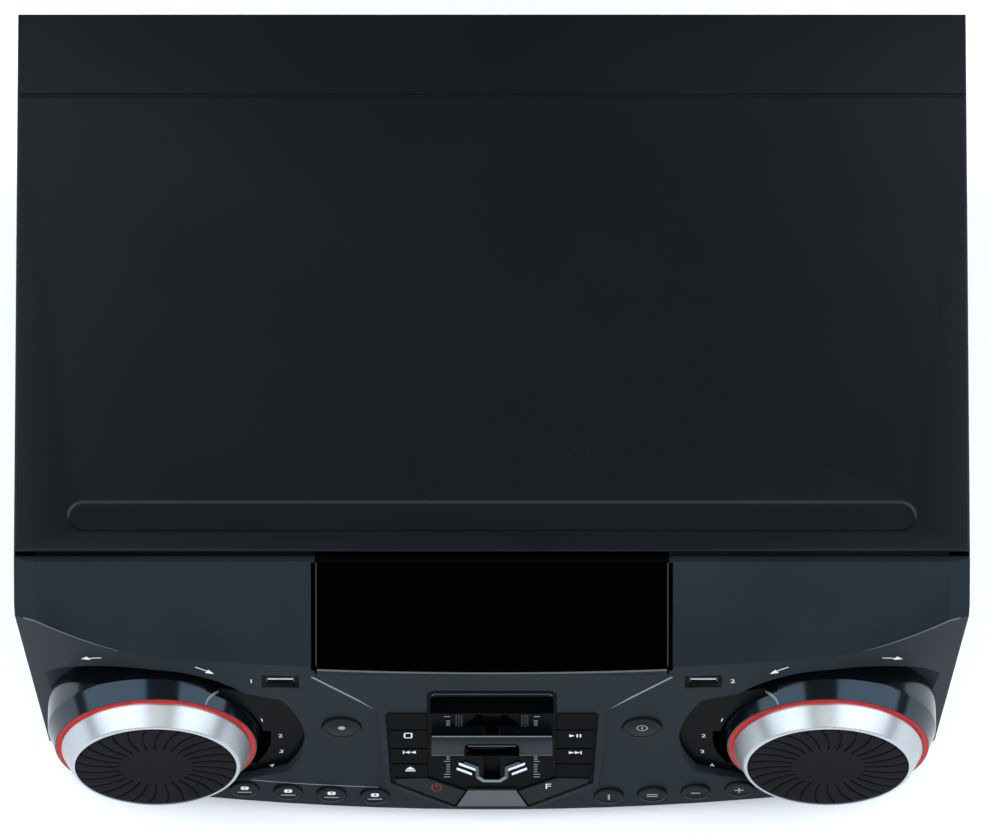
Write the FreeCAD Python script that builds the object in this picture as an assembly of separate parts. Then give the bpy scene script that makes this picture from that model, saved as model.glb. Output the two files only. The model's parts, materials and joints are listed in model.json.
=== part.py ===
import FreeCAD, Part
import math
import os

Vector = FreeCAD.Vector

# All lengths are millimetres and all angles are degrees.
# X runs to the right, Y to the back and Z up. The origin is under the middle of the footprint.

# Body
body_width = 450.0
body_height = 175.0
cover_depth = 281.0
foot_height = 12.0
foot_line_width = 421.0
side_break_drop = 17.0
sheet = 1.2
running_gap = 0.3
seat_gap = 0.1
overrun = 5.0

# Fascia: its reach in front of the cover, in plan, at its foot and at cover height
wall = 3.0
foot_reach = 60.0
foot_shoulder = 140.0
foot_shoulder_reach = 53.0
foot_cheek = 180.0
foot_cheek_reach = 40.5
foot_corner_reach = 24.0
top_reach = 43.0
top_shoulder = 164.5
top_shoulder_reach = 39.0
top_cheek = 194.0
top_cheek_reach = 34.0
top_corner_reach = 24.0

# Fascia: the sloping upper panel, its ridge, the bevel behind it and the side facets
crease_drop = 33.7
ridge_reach = 5.5
bevel_run = 8.5
bevel_drop = 7.4
flange_depth = 6.0
facet_width = 9.5
facet_drop = 5.5

# Display window and disc door, up the slope of the upper panel
window_width = 167.0
window_top = 50.0
window_sill = 0.6
glass = 2.0
glass_ledge = 3.5
door_height = 16.0
door_seam = 0.4
doorway_clearance = 2.0
display_drop = 25.0
display_depth = 4.2
board = 1.6

# Places down the front wall are shares of its slope, from the crease at 0 to the foot at 1.
# Raised shield in the middle of the front wall: top, neck, hip and foot, with their half widths
shield_proud = 1.0
shield_root = 1.5
shield_draft = 1.2
shield_shares = [0.0115, 0.277, 0.8154, 0.9846]
shield_top_half = 83.0
shield_neck_half = 54.0
shield_hip_half = 50.3
shield_foot_half = 19.0

# Control panel let into the shield: its top, hip and foot, with their half widths
panel_shares = [0.3015, 0.7962, 0.9677]
panel_top_half = 50.0
panel_hip_half = 47.6
panel_foot_half = 17.8
panel_face = 0.4
panel_back = 2.5
recess_top_share = 0.1592
recess_half = 29.0
recess_depth = 6.0
recess_round = 3.8
recess_wall = 1.2
post_radius = 2.0
post_half_spacing = 26.0
post_shares = [0.3538, 0.6769]
board_back = 6.4

# Keys in two columns, and the two long keys beside the nose
key_row_shares = [0.3123, 0.4046, 0.5385, 0.6485, 0.7462]
key_inner_half = 30.6
key_outer_inset = 1.2
key_web = 1.2
key_clearance = 0.15
key_proud = 0.8
key_flange = 0.9
key_flange_width = 0.45
key_travel = 0.8
switch_size = 4.0
long_key_shares = [0.7646, 0.7569, 0.8523, 0.9492, 0.7938]
long_key_halves = [46.2, 31.0, 12.6, 17.6, 45.0]
nose_shares = [0.8415, 0.9569]
nose_top_half = 11.4
nose_foot_half = 16.6
nose_thick = 1.2

# Throttle lever on the control panel, with its slot, shutter and slide block
lever_width = 57.4
lever_lift = 0.6
lever_share = 0.4769
lever_back = 3.5
lever_draft = 0.5
lever_shoulder_proud = 5.0
lever_proud = 9.2
lever_front = 2.0
label_width = 26.0
label_thick = 0.8
slot_half = 4.0
slot_shares = [0.3231, 0.7769]
neck_half = 3.0
neck_back = 2.2
neck_front = 1.4
shutter_half = 8.0
shutter_thick = 1.0
shutter_shares = [0.4385, 0.8692]
slider_half = 5.0
slider_shares = [0.3846, 0.7692]
chevron_shares = [0.6631, 0.7031]
chevron_half_outer = 17.2
chevron_half_inners = [7.2, 9.4]
chevron_fall_share = 0.76
chevron_width = 1.7
chevron_thick = 0.5

# Jog dials: distances along the axis are counted from the front of the collar
dial_spacing = 318.0
dial_height = 70.0
dial_reach = 54.2
dial_tilt = 3.4
bay_radius = 50.7
bay_depth = 25.0
hood_radius = 57.0
hood_rise = 7.0
collar_front_radius = 48.4
collar_back_radius = 50.0
collar_bore = 46.0
light_outer = 47.2
light_inner = 45.7
light_depth = 3.4
light_proud = 0.2
cone_base = 45.2
cone_skirt = 2.0
cone_start = 0.5
cone_top = 40.2
cone_height = 9.4
dial_face = 10.2
rim_radius = 39.4
pad_radius = 38.2
pad_seat = 6.0
pad_crown = 10.0
pad_edge = 9.6
pad_edge_width = 1.8
pad_dish = 9.2
pad_dish_radius = 15.5
groove_count = 28
groove_width = 1.1
groove_depth = 0.7
groove_inner = 17.0
groove_middle = 26.8
groove_outer = 37.6
groove_middle_turn = 0.5
groove_outer_turn = 6.2
dial_floor = 3.0
dial_hub_flange = 8.0
dial_hub_flange_thick = 2.5
shaft_radius = 3.0
shaft_fit = 0.05
shaft_hole = 3.6
encoder_size = 22.0
encoder_depth = 9.0

# Crescent panel beside each dial, measured from the dial axis towards the middle of the unit
crescent_depth = 9.0
crescent_thick = 2.8
crescent_inner = 51.0
crescent_root = 30.0
crescent_root_top = 49.0
crescent_root_foot = 42.0
crescent_top_across = 59.5
crescent_top_up = 40.5
crescent_side_across = 70.5
crescent_side_up = 2.0
crescent_foot_across = 62.0
crescent_foot_down = 28.0

# Round buttons, pads and ports on the front wall
round_button_radius = 9.2
round_button_half_spacing = 71.0
round_button_share = 0.42
pad_button_radius = 6.7
pad_button_first = 55.5
pad_button_pitch = 20.6
pad_button_rise = 11.8
button_proud = 1.3
button_chamfer = 0.5
button_lip = 1.8
button_flange = 1.0
button_flange_width = 0.7
button_clearance = 0.25
port_half_spacing = 99.7
port_share = 0.106
port_recess_width = 17.5
port_recess_height = 11.5
port_recess_depth = 1.2
port_width = 13.0
port_tall = 5.6
port_length = 14.0
port_shell = 0.4
tongue_width = 10.0
tongue_thick = 1.9
tongue_length = 9.0

# Top cover: recessed bead near the front edge and seam groove near the back
bead_length = 400.0
bead_width = 15.7
bead_front = 10.5
bead_depth = 1.4
seam_back = 237.0
seam_width = 2.0
seam_depth = 0.7

# Chassis, rear panel, feet and the boards inside
chassis_sheet = 1.5
chassis_flange = 18.0
rear_inset = 1.0
rear_proud = 4.0
foot_radius = 14.0
foot_half_spacing = 170.0
foot_front = 28.0
foot_back = 252.0
boss_radius = 3.0
boss_height = 5.5
main_board_size = (96.0, 130.0)
main_board_place = (102.0, 60.0)
chip_size = (30.0, 30.0, 3.0)
capacitor_radius = 8.0
capacitor_height = 25.0
power_board_size = (96.0, 120.0)
power_board_place = (-198.0, 60.0)
transformer_size = (62.0, 54.0, 48.0)
sink_size = (90.0, 34.0, 96.0)
sink_place = (-190.0, 222.0)
sink_base = 6.0
sink_fins = 8
fin_share = 0.3

# Rear sockets: height of their row, their places across and their sizes
socket_row = 60.0
inlet_across = 150.0
inlet_size = (30.0, 20.0, 22.0)
inlet_well = (16.0, 8.6, 12.0)
pin_radius = 1.2
pin_half_spacing = 4.3
pin_length = 9.0
speaker_across = 30.0
speaker_block = (70.0, 24.0, 20.0)
speaker_well = (16.0, 9.0, 10.0)
speaker_pitch = 34.0
jack_across = -60.0
jack_pitch = 24.0
jack_bore = 3.2
jack_depth = 24.0
jack_block = (50.0, 22.0, 26.0)
vent_count = 9
vent_pitch = 9.0
vent_width = 3.0
vent_tall = 60.0
vent_across = -145.0
vent_height = 70.0

# Disc tray and loader; places along Y are behind the front edge of the cover
tray_lift = 2.3
tray_width = 130.0
tray_thick = 6.0
tray_back = 150.0
tray_floor = 1.0
disc_well = 121.0
disc_centre = 22.0
tray_slot_width = 40.0
tray_slot_front = 4.0
tray_slot_back = 75.0
rail_lead = 12.0
rail_back = 156.0
loader_half = 90.0
loader_wall = 2.0
loader_floor = 2.0
loader_drop = 9.6
rail_lap = 4.0
rail_thick = 2.5
leg_depth = 30.0
leg_front = 10.0
gear_module = 1.2
gear_teeth = 18
gear_pressure = 20.0
gear_backlash = 0.35
gear_centre = 0.0
gear_thick = 4.6
gear_pin_radius = 2.0
gear_rail_gap = 15.0
hub_radius = 14.0
hub_thick = 4.0
hub_shaft_radius = 2.5
motor_radius = 12.0
motor_height = 10.0
pickup_half = 16.5
pickup_front = 47.0
pickup_length = 26.0
pickup_tall = 8.0
pickup_rail = 2.0
pickup_rail_front = 38.0
pickup_rail_back = 112.0
pickup_lens_radius = 4.0
pickup_lens_tall = 0.6

# Places worked out from the sizes above
half_width = body_width / 2
foot_half = foot_line_width / 2
wall_slope = (foot_reach - top_reach) / (body_height - foot_height)
crease_height = body_height - crease_drop
side_break_height = body_height - side_break_drop
side_slope = (half_width - foot_half) / (side_break_height - foot_height)
top_half = foot_half + side_slope * (body_height - foot_height)
front_fall = crease_height - foot_height
crease_reach = foot_reach - wall_slope * front_fall
front_lean = math.degrees(math.atan(wall_slope))
front_slope = front_fall / math.cos(math.radians(front_lean))
shield_top, shield_neck, shield_hip, shield_foot = [share * front_slope for share in shield_shares]
panel_top, panel_hip, panel_foot = [share * front_slope for share in panel_shares]
recess_top = recess_top_share * front_slope
key_rows = [share * front_slope for share in key_row_shares]
nose_top, nose_foot = [share * front_slope for share in nose_shares]
lever_nose = lever_share * front_slope
slot_top, slot_foot = [share * front_slope for share in slot_shares]
shutter_top, shutter_foot = [share * front_slope for share in shutter_shares]
slider_top, slider_foot = [share * front_slope for share in slider_shares]
round_button_height = crease_height - round_button_share * front_fall
pad_button_height = foot_height + pad_button_rise
port_height = crease_height - port_share * front_fall
roof_run = crease_reach - ridge_reach
roof_rise = crease_drop
roof_slope = roof_rise / roof_run
window_lean = math.degrees(math.atan2(roof_run, roof_rise))
bevel_foot = body_height - bevel_drop
tilt = math.radians(dial_tilt)
front_reach = dial_reach + dial_face * math.cos(tilt) + rim_radius * math.sin(tilt)
cover_front = (front_reach - cover_depth - rear_proud) / 2
dial_across = dial_spacing / 2
tray_bottom = crease_height + tray_lift
tray_top = tray_bottom + tray_thick
loader_base = tray_bottom - loader_drop
chassis_top = foot_height + chassis_sheet
sharp_corners = 2


def ahead(reach):
    """Y of a place in front of the cover's front edge."""
    return cover_front - reach


def behind(depth):
    """Y of a place behind the cover's front edge."""
    return cover_front + depth


def surface_frame(x, y, z, lean):
    """Frame on a front surface: local x to the right, y up the slope and z out of it."""
    return FreeCAD.Placement(Vector(x, y, z), FreeCAD.Rotation(Vector(1, 0, 0), 90 - lean))


front_frame = surface_frame(0, ahead(crease_reach), crease_height, front_lean)
window_frame = surface_frame(0, ahead(crease_reach), crease_height, window_lean)


def dial_frame(side):
    return surface_frame(side * dial_across, ahead(dial_reach), dial_height, dial_tilt)


def put(shape, frame):
    """The shape moved from a local frame to its place on the unit."""
    placed = shape.copy()
    placed.Placement = frame.multiply(placed.Placement)
    return placed


def block(x0, x1, y0, y1, z0, z1):
    return Part.makeBox(x1 - x0, y1 - y0, z1 - z0, Vector(x0, y0, z0))


def disc(radius, low, high, x=0, y=0):
    return Part.makeCylinder(radius, high - low, Vector(x, y, low))


def polygon(points):
    corners = [Vector(x, y, 0) for x, y in points]
    return Part.makePolygon(corners + corners[:1])


def grown(points, amount):
    """Closed outline moved outwards, or inwards for a negative amount."""
    return polygon(points).makeOffset2D(amount, sharp_corners)


def plate(wire, low, high):
    face = Part.Face(wire)
    face.translate(Vector(0, 0, low))
    return face.extrude(Vector(0, 0, high - low))


def turned(profile):
    """Solid of revolution about local z from (radius, height) points."""
    corners = [Vector(radius, 0, height) for radius, height in profile]
    face = Part.Face(Part.makePolygon(corners + corners[:1]))
    return face.revolve(Vector(0, 0, 0), Vector(0, 0, 1), 360)


def side_profile(points, x0, x1):
    """Solid between two X places from a (y, z) outline."""
    corners = [Vector(x0, y, z) for y, z in points]
    face = Part.Face(Part.makePolygon(corners + corners[:1]))
    return face.extrude(Vector(x1 - x0, 0, 0))


def end_profile(points, y0, y1):
    """Solid between two Y places from an (x, z) outline."""
    corners = [Vector(x, y0, z) for x, z in points]
    face = Part.Face(Part.makePolygon(corners + corners[:1]))
    return face.extrude(Vector(0, y1 - y0, 0))


def mirrored(points):
    """A half outline given at positive x, closed by its mirror image."""
    return points + [(-x, y) for x, y in reversed(points)]


def both(solid):
    return [solid, solid.mirror(Vector(0, 0, 0), Vector(1, 0, 0))]


# Fascia shell

def drawn_in(points, inset):
    """Plan points moved inwards, square to the outline. The first and last only give directions."""
    moved = []
    for before, (x, reach), after in zip(points, points[1:], points[2:]):
        run = after[0] - before[0]
        rise = after[1] - before[1]
        length = math.hypot(run, rise)
        moved.append((x + inset * rise / length, reach - inset * run / length))
    return moved


def plan_outline(half_points, z, inset, back):
    """Plan of the fascia at one height: two corner arcs, a shallow bow and straight sides."""
    corner, corner_reach = half_points[-1]
    half_points = half_points + [(corner, corner_reach - foot_reach)]
    points = [(-x, reach) for x, reach in reversed(half_points[1:])] + half_points
    marks = [Vector(x, ahead(reach), z) for x, reach in drawn_in(points, inset)]
    edges = [Part.Arc(*marks[i:i + 3]).toShape() for i in (0, 2, 4)]
    rear = [Vector(marks[-1].x, back, z), Vector(marks[0].x, back, z)]
    stops = [marks[-1]] + rear + [marks[0]]
    edges += [Part.makeLine(start, end) for start, end in zip(stops, stops[1:])]
    return Part.Wire(edges)


def front_body(inset, back):
    """The mass of the fascia between foot and cover height, or its cavity with an inset."""
    foot_points = [(0, foot_reach), (foot_shoulder, foot_shoulder_reach),
                   (foot_cheek, foot_cheek_reach), (foot_half, foot_corner_reach)]
    top_points = [(0, top_reach), (top_shoulder, top_shoulder_reach),
                  (top_cheek, top_cheek_reach), (top_half, top_corner_reach)]
    low = plan_outline(foot_points, foot_height + inset, inset, back)
    high = plan_outline(top_points, body_height, inset, back)
    return Part.makeLoft([low, high], True, True)


def roof(inset):
    """Everything under the sloping panel, the ridge and the bevel behind it."""
    front = 2 * foot_reach
    slope_inset = inset / math.sin(math.radians(window_lean))
    slope_foot = body_height - slope_inset - roof_slope * (front - ridge_reach)
    points = [(ahead(front), 0), (ahead(front), slope_foot)]
    if inset == 0:
        points += [(ahead(ridge_reach), body_height), (ahead(ridge_reach - bevel_run), bevel_foot)]
    else:
        flat = bevel_foot - inset
        flat_reach = ridge_reach + (body_height - slope_inset - flat) / roof_slope
        points += [(ahead(flat_reach), flat)]
    points += [(behind(foot_reach), points[-1][1]), (behind(foot_reach), 0)]
    return side_profile(points, inset - half_width, half_width - inset)


def side_facet(inset):
    """Wedge above the facet along the right end of the sloping panel."""
    front = 2 * foot_reach
    base = body_height - inset - roof_slope * (front - ridge_reach)
    start = half_width - facet_width - inset
    end = half_width + facet_width
    drop = (end - start) * facet_drop / facet_width
    corners = [Vector(start, ahead(front), base), Vector(end, ahead(front), base - drop),
               Vector(end, ahead(front), base + body_height), Vector(start, ahead(front), base + body_height)]
    face = Part.Face(Part.makePolygon(corners + corners[:1]))
    return face.extrude(Vector(0, front + foot_reach, (front + foot_reach) * roof_slope))


def fascia_mass(inset, back):
    mass = front_body(inset, back).common(roof(inset))
    return mass.cut(both(side_facet(inset)))


envelope = fascia_mass(0, ahead(running_gap))


def wall_frame(x, z):
    """Frame on the front wall at a place across and a height."""
    def reach_at(height):
        probe = Part.makeLine(Vector(x, ahead(2 * foot_reach), height), Vector(x, cover_front, height))
        return cover_front - probe.common(envelope).BoundBox.YMin
    step = wall
    lean = math.degrees(math.atan((reach_at(z - step) - reach_at(z + step)) / (2 * step)))
    return surface_frame(x, ahead(reach_at(z)), z, lean)


def crescent_outline(side):
    """Crescent pocket beside a dial, in the dial's own frame."""
    def mark(across, up):
        return Vector(-side * across, up, 0)
    root_top = mark(crescent_root, crescent_root_top)
    top = mark(crescent_top_across, crescent_top_up)
    bulge = mark(crescent_side_across, crescent_side_up)
    foot = mark(crescent_foot_across, -crescent_foot_down)
    root_foot = mark(crescent_root, -crescent_root_foot)
    edges = [Part.makeLine(root_top, top), Part.Arc(top, bulge, foot).toShape(),
             Part.makeLine(foot, root_foot), Part.makeLine(root_foot, root_top)]
    return Part.Wire(edges)


def dial_bay(side, thickness):
    """Dial bay: a round well, its wider hood above and the crescent pocket, with walls of a thickness."""
    floor = -bay_depth - thickness
    well = disc(bay_radius + thickness, floor, foot_reach)
    hood = disc(hood_radius + thickness, floor, foot_reach, 0, hood_rise)
    reach = 2 * hood_radius
    hood = hood.common(block(-reach, reach, -thickness, reach, floor, foot_reach))
    outline = crescent_outline(side)
    if thickness:
        outline = outline.makeOffset2D(thickness, sharp_corners)
    pocket = plate(outline, -crescent_depth - thickness, foot_reach)
    return put(well.fuse([hood, pocket]), dial_frame(side))


def shield():
    """Raised middle of the front wall, with drafted edges."""
    points = mirrored([(shield_top_half, -shield_top), (shield_neck_half, -shield_neck),
                       (shield_hip_half, -shield_hip), (shield_foot_half, -shield_foot)])
    face = polygon(points)
    root = grown(points, shield_draft)
    face.translate(Vector(0, 0, shield_proud))
    root.translate(Vector(0, 0, -shield_root))
    return put(Part.makeLoft([root, face], True, True), front_frame)


panel_points = mirrored([(panel_top_half, -panel_top), (panel_hip_half, -panel_hip),
                         (panel_foot_half, -panel_foot)])


def panel_hole():
    frame = plate(grown(panel_points, running_gap), -2 * panel_back - wall, foot_reach)
    side = recess_half + recess_wall + running_gap
    top = recess_wall + running_gap - recess_top
    pocket = block(-side, side, -panel_top - overrun, top, -2 * recess_depth, foot_reach)
    return put(frame.fuse(pocket), front_frame)


def window_hole():
    """Window with a level sill, stepped so that a ledge holds the glass."""
    half = window_width / 2
    outer = block(-half, half, -window_top, window_top, -glass, foot_reach)
    inner_half = half - glass_ledge
    seam = door_height + door_seam
    display = block(-inner_half, inner_half, seam, window_top - glass_ledge, -2 * wall, foot_reach)
    passage = tray_width / 2 + doorway_clearance
    doorway = block(-passage, passage, -window_top, seam + seat_gap, -2 * wall, foot_reach)
    hole = put(outer.fuse([display, doorway]), window_frame)
    sill = crease_height + window_sill
    above = block(-half_width, half_width, ahead(2 * foot_reach), behind(0), sill, 2 * body_height)
    return hole.common(above)


def button_hole(frame, radius):
    bore = disc(radius + button_clearance, -2 * wall, overrun)
    seat = disc(radius + button_flange_width + button_clearance, -2 * wall, -button_lip)
    return put(bore.fuse(seat), frame)


def port_hole(frame):
    w = port_recess_width / 2
    h = port_recess_height / 2
    recess = block(-w, w, -h, h, -port_recess_depth, overrun)
    w = port_width / 2 + seat_gap
    h = port_tall / 2 + seat_gap
    return put(recess.fuse(block(-w, w, -h, h, -2 * wall, overrun)), frame)


def mirror_places(positions):
    return [(side * x, z) for side in (-1, 1) for x, z in positions]


pad_places = mirror_places([(pad_button_first + pad_button_pitch * i, pad_button_height) for i in range(4)])
round_places = mirror_places([(round_button_half_spacing, round_button_height)])
port_places = mirror_places([(port_half_spacing, port_height)])
pad_frames = [wall_frame(x, z) for x, z in pad_places]
round_frames = [wall_frame(x, z) for x, z in round_places]
port_frames = [wall_frame(x, z) for x, z in port_places]


def front_fascia():
    cavity = fascia_mass(wall, behind(foot_reach))
    shell = envelope.cut(cavity)
    bosses = [dial_bay(side, wall).common(envelope) for side in (-1, 1)]
    flange_half = half_width - facet_width
    flange = block(-flange_half, flange_half, ahead(wall), behind(flange_depth), bevel_foot - wall, bevel_foot)
    shell = shell.fuse(bosses + [shield(), flange])
    cuts = [dial_bay(side, 0) for side in (-1, 1)]
    cuts += [put(disc(shaft_hole, -2 * bay_depth, 0), dial_frame(side)) for side in (-1, 1)]
    cuts += [panel_hole(), window_hole()]
    cuts += [button_hole(frame, pad_button_radius) for frame in pad_frames]
    cuts += [button_hole(frame, round_button_radius) for frame in round_frames]
    cuts += [port_hole(frame) for frame in port_frames]
    for cut in cuts:
        shell = shell.cut(cut)
    return shell


# Window glass, disc door and display

def display_lens():
    half = window_width / 2 - running_gap
    foot = door_height + door_seam
    return put(block(-half, half, foot, window_top - running_gap, -glass, 0), window_frame)


def tray_door():
    half = window_width / 2 - running_gap
    pane = put(block(-half, half, -door_height, door_height, -glass, 0), window_frame)
    sill = crease_height + window_sill + running_gap
    above = block(-half_width, half_width, ahead(2 * foot_reach), behind(0), sill, body_height)
    return pane.common(above)


def display_board():
    half = window_width / 2 - 2 * glass_ledge
    top = window_top - 2 * glass_ledge
    module = block(-half, half, display_drop, top, -glass - display_depth, -glass - seat_gap)
    back = -glass - display_depth
    return put(module.fuse(block(-half, half, display_drop, top - glass_ledge, back - board, back)), window_frame)


# Control panel, keys and lever

def key_outline(side, row):
    """Four corners of one column key, between two row lines."""
    top = key_rows[row] + key_web
    foot = key_rows[row + 1]
    draft = (panel_top_half - panel_hip_half) / (panel_hip - panel_top)
    outer_top = panel_top_half - key_outer_inset - draft * (top - panel_top)
    outer_foot = panel_top_half - key_outer_inset - draft * (foot - panel_top)
    points = [(key_inner_half, -top), (outer_top, -top), (outer_foot, -foot), (key_inner_half, -foot)]
    return [(side * x, y) for x, y in points]


def long_key_outline(side):
    return [(side * half, -share * front_slope) for half, share in zip(long_key_halves, long_key_shares)]


key_outlines = {}
for side, column in ((-1, "left"), (1, "right")):
    for row in range(4):
        key_outlines[f"key_{column}_{row + 1}"] = key_outline(side, row)
key_outlines["power_key"] = long_key_outline(-1)
key_outlines["function_key"] = long_key_outline(1)


def middle_of(points):
    return (sum(x for x, y in points) / len(points), sum(y for x, y in points) / len(points))


def key_cap(points):
    cap = plate(polygon(points), -panel_back - seat_gap - key_flange, panel_face + key_proud)
    back = -panel_back - seat_gap
    flange = plate(grown(points, key_flange_width), back - key_flange, back)
    return put(cap.fuse(flange), front_frame)


def control_panel():
    body = plate(polygon(panel_points), -panel_back, panel_face)
    side = recess_half + recess_wall
    top = recess_wall - recess_top
    housing = block(-side, side, -panel_top - recess_wall, top, -recess_depth - recess_wall, panel_face)
    pocket = block(-recess_half, recess_half, -panel_top, -recess_top, -recess_depth, overrun)
    upright = [edge for edge in pocket.Edges
               if abs(edge.BoundBox.YMin + recess_top) < seat_gap and edge.BoundBox.ZLength > seat_gap]
    pocket = pocket.makeFillet(recess_round, upright)
    posts = [disc(post_radius, -board_back, -panel_back, side * post_half_spacing, -share * front_slope)
             for side in (-1, 1) for share in post_shares]
    slot = block(-slot_half, slot_half, -slot_foot, -slot_top, -2 * panel_back, overrun)
    holes = [plate(grown(points, key_clearance), -2 * panel_back, overrun) for points in key_outlines.values()]
    return put(body.fuse([housing] + posts).cut([pocket, slot] + holes), front_frame)


def key_board():
    points = mirrored([(panel_top_half - wall, -slot_top), (panel_hip_half - wall, -panel_hip),
                       (panel_foot_half, -panel_foot + wall)])
    sheet_part = plate(polygon(points), -board_back - board, -board_back)
    nub_top = -panel_back - seat_gap - key_flange - key_travel - running_gap
    nubs = []
    for points in key_outlines.values():
        x, y = middle_of(points)
        w = switch_size / 2
        nubs.append(block(x - w, x + w, y - w, y + w, -board_back, nub_top))
    return put(sheet_part.fuse(nubs), front_frame)


def lever_section():
    base = panel_face + lever_lift
    top = lever_back - lever_nose
    foot = -lever_nose - lever_front
    return [(top, base), (top - lever_draft, lever_shoulder_proud), (-lever_nose, lever_proud),
            (foot, lever_proud), (foot - lever_draft, base)]


def lever_bar():
    return put(side_profile(lever_section(), -lever_width / 2, lever_width / 2), front_frame)


def lever_label():
    """Plate on the sloping face of the bar."""
    top = Vector(0, lever_back - lever_draft - lever_nose, lever_shoulder_proud)
    nose = Vector(0, -lever_nose, lever_proud)
    outward = Vector(1, 0, 0).cross(top - nose).normalize() * label_thick
    corners = [top, nose, nose + outward, top + outward]
    return put(side_profile([(v.y, v.z) for v in corners], -label_width / 2, label_width / 2), front_frame)


def lever_stem():
    back = -panel_back - running_gap
    shutter = block(-shutter_half, shutter_half, -shutter_foot, -shutter_top, back - shutter_thick, back)
    neck = block(-neck_half, neck_half, -lever_nose - neck_front, neck_back - lever_nose, back - shutter_thick,
                 panel_face + lever_lift)
    return put(shutter.fuse(neck), front_frame)


def lever_guide():
    top = -panel_back - shutter_thick - 2 * running_gap
    return put(block(-slider_half, slider_half, -slider_foot, -slider_top, -board_back, top), front_frame)


def chrome_chevrons():
    bars = []
    for share, inner in zip(chevron_shares, chevron_half_inners):
        top = share * front_slope
        foot = top + (chevron_half_outer - inner) * chevron_fall_share
        points = [(chevron_half_outer, -top), (inner, -foot), (inner, -foot - chevron_width),
                  (chevron_half_outer, -top - chevron_width)]
        bars += both(plate(polygon(points), panel_face, panel_face + chevron_thick))
    return put(Part.makeCompound(bars), front_frame)


def nose_plate():
    points = mirrored([(nose_top_half, -nose_top), (nose_foot_half, -nose_foot)])
    return put(plate(polygon(points), panel_face, panel_face + nose_thick), front_frame)


# Jog dials

def dial_collar():
    outer = turned([(0, -bay_depth), (collar_back_radius, -bay_depth), (collar_front_radius, 0), (0, 0)])
    bore = disc(collar_bore, -bay_depth - overrun, overrun)
    rebate = disc(light_outer + seat_gap, -light_depth, overrun)
    return outer.cut([bore, rebate])


def light_ring():
    return disc(light_outer, -light_depth, light_proud).cut(disc(light_inner, -light_depth - overrun, overrun))


def dial_ring():
    hub = shaft_radius + shaft_fit
    skirt = cone_base - wall
    web = pad_seat - dial_floor
    return turned([(hub, web), (skirt - wall, web), (skirt, -cone_skirt), (cone_base, -cone_skirt),
                   (cone_base, cone_start), (cone_top, cone_height), (rim_radius, dial_face),
                   (pad_radius + seat_gap, dial_face), (pad_radius + seat_gap, pad_seat), (hub, pad_seat)])


def pad_groove():
    """Curved strip along one groove of the pad: an arc, bending clockwise towards the rim."""
    def rib(offset):
        marks = []
        for radius, turn in ((groove_inner, 0), (groove_middle, groove_middle_turn), (groove_outer, groove_outer_turn)):
            angle = -math.radians(turn)
            marks.append(Vector(radius * math.cos(angle) - offset * math.sin(angle),
                                radius * math.sin(angle) + offset * math.cos(angle), 0))
        return marks
    left = rib(groove_width / 2)
    right = rib(-groove_width / 2)
    edges = [Part.Arc(*left).toShape(), Part.makeLine(left[-1], right[-1]),
             Part.Arc(*reversed(right)).toShape(), Part.makeLine(right[0], left[0])]
    return plate(Part.Wire(edges), pad_crown - groove_depth, pad_crown + overrun)


def dial_pad():
    body = turned([(0, pad_seat), (pad_radius, pad_seat), (pad_radius, pad_edge),
                   (pad_radius - pad_edge_width, pad_crown), (pad_dish_radius + pad_edge_width, pad_crown),
                   (pad_dish_radius, pad_dish), (0, pad_dish)])
    grooves = []
    for i in range(groove_count):
        groove = pad_groove()
        groove.rotate(Vector(0, 0, 0), Vector(0, 0, 1), 360 * i / groove_count)
        grooves.append(groove)
    return body.cut(grooves)


def dial_shaft():
    web = pad_seat - dial_floor
    rod = disc(shaft_radius, -bay_depth - wall - encoder_depth, pad_seat)
    return rod.fuse(disc(dial_hub_flange, web - dial_hub_flange_thick, web))


def dial_encoder():
    w = encoder_size / 2
    back = -bay_depth - wall
    body = block(-w, w, -w, w, back - encoder_depth, back)
    return body.cut(disc(shaft_radius + shaft_fit, back - encoder_depth - overrun, 0))


def crescent_panel(side):
    outline = crescent_outline(side).makeOffset2D(-seat_gap, sharp_corners)
    body = plate(outline, -crescent_depth, crescent_thick - crescent_depth)
    return put(body.cut(disc(crescent_inner, -2 * crescent_depth, overrun)), dial_frame(side))


def dial_pair(solid):
    return Part.makeCompound([put(solid, dial_frame(side)) for side in (-1, 1)])


# Buttons and ports on the front wall

def push_button(radius):
    seat = -button_lip - seat_gap
    back = seat - button_flange
    rim = radius + button_flange_width
    return turned([(0, back), (rim, back), (rim, seat), (radius, seat), (radius, button_proud - button_chamfer),
                   (radius - button_chamfer, button_proud), (0, button_proud)])


def usb_port(frame):
    front = -port_recess_depth
    w = port_width / 2
    h = port_tall / 2
    shell = block(-w, w, -h, h, front - port_length, front)
    w -= port_shell
    h -= port_shell
    cavity = block(-w, w, -h, h, front - port_length + port_shell, overrun)
    tongue = block(-tongue_width / 2, tongue_width / 2, h - tongue_thick, h,
                   front - port_length + port_shell, front - port_length + port_shell + tongue_length)
    return put(shell.cut(cavity).fuse(tongue), frame)


# Casing

def body_section(inset, floor):
    """Half outline of the body across X, from the top middle down one side."""
    def side_at(z):
        return min(half_width, foot_half + side_slope * (z - foot_height)) - inset
    top = body_height - inset
    return mirrored([(side_at(top), top), (side_at(side_break_height), side_break_height), (side_at(floor), floor)])


def stadium(length, across, centre, low, high):
    """Long slot shape with round ends, along X at a place behind the cover's front edge."""
    radius = across / 2
    end = length / 2 - radius
    y = behind(centre)
    middle = block(-end, end, y - radius, y + radius, low, high)
    return middle.fuse([disc(radius, low, high, side * end, y) for side in (-1, 1)])


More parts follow.
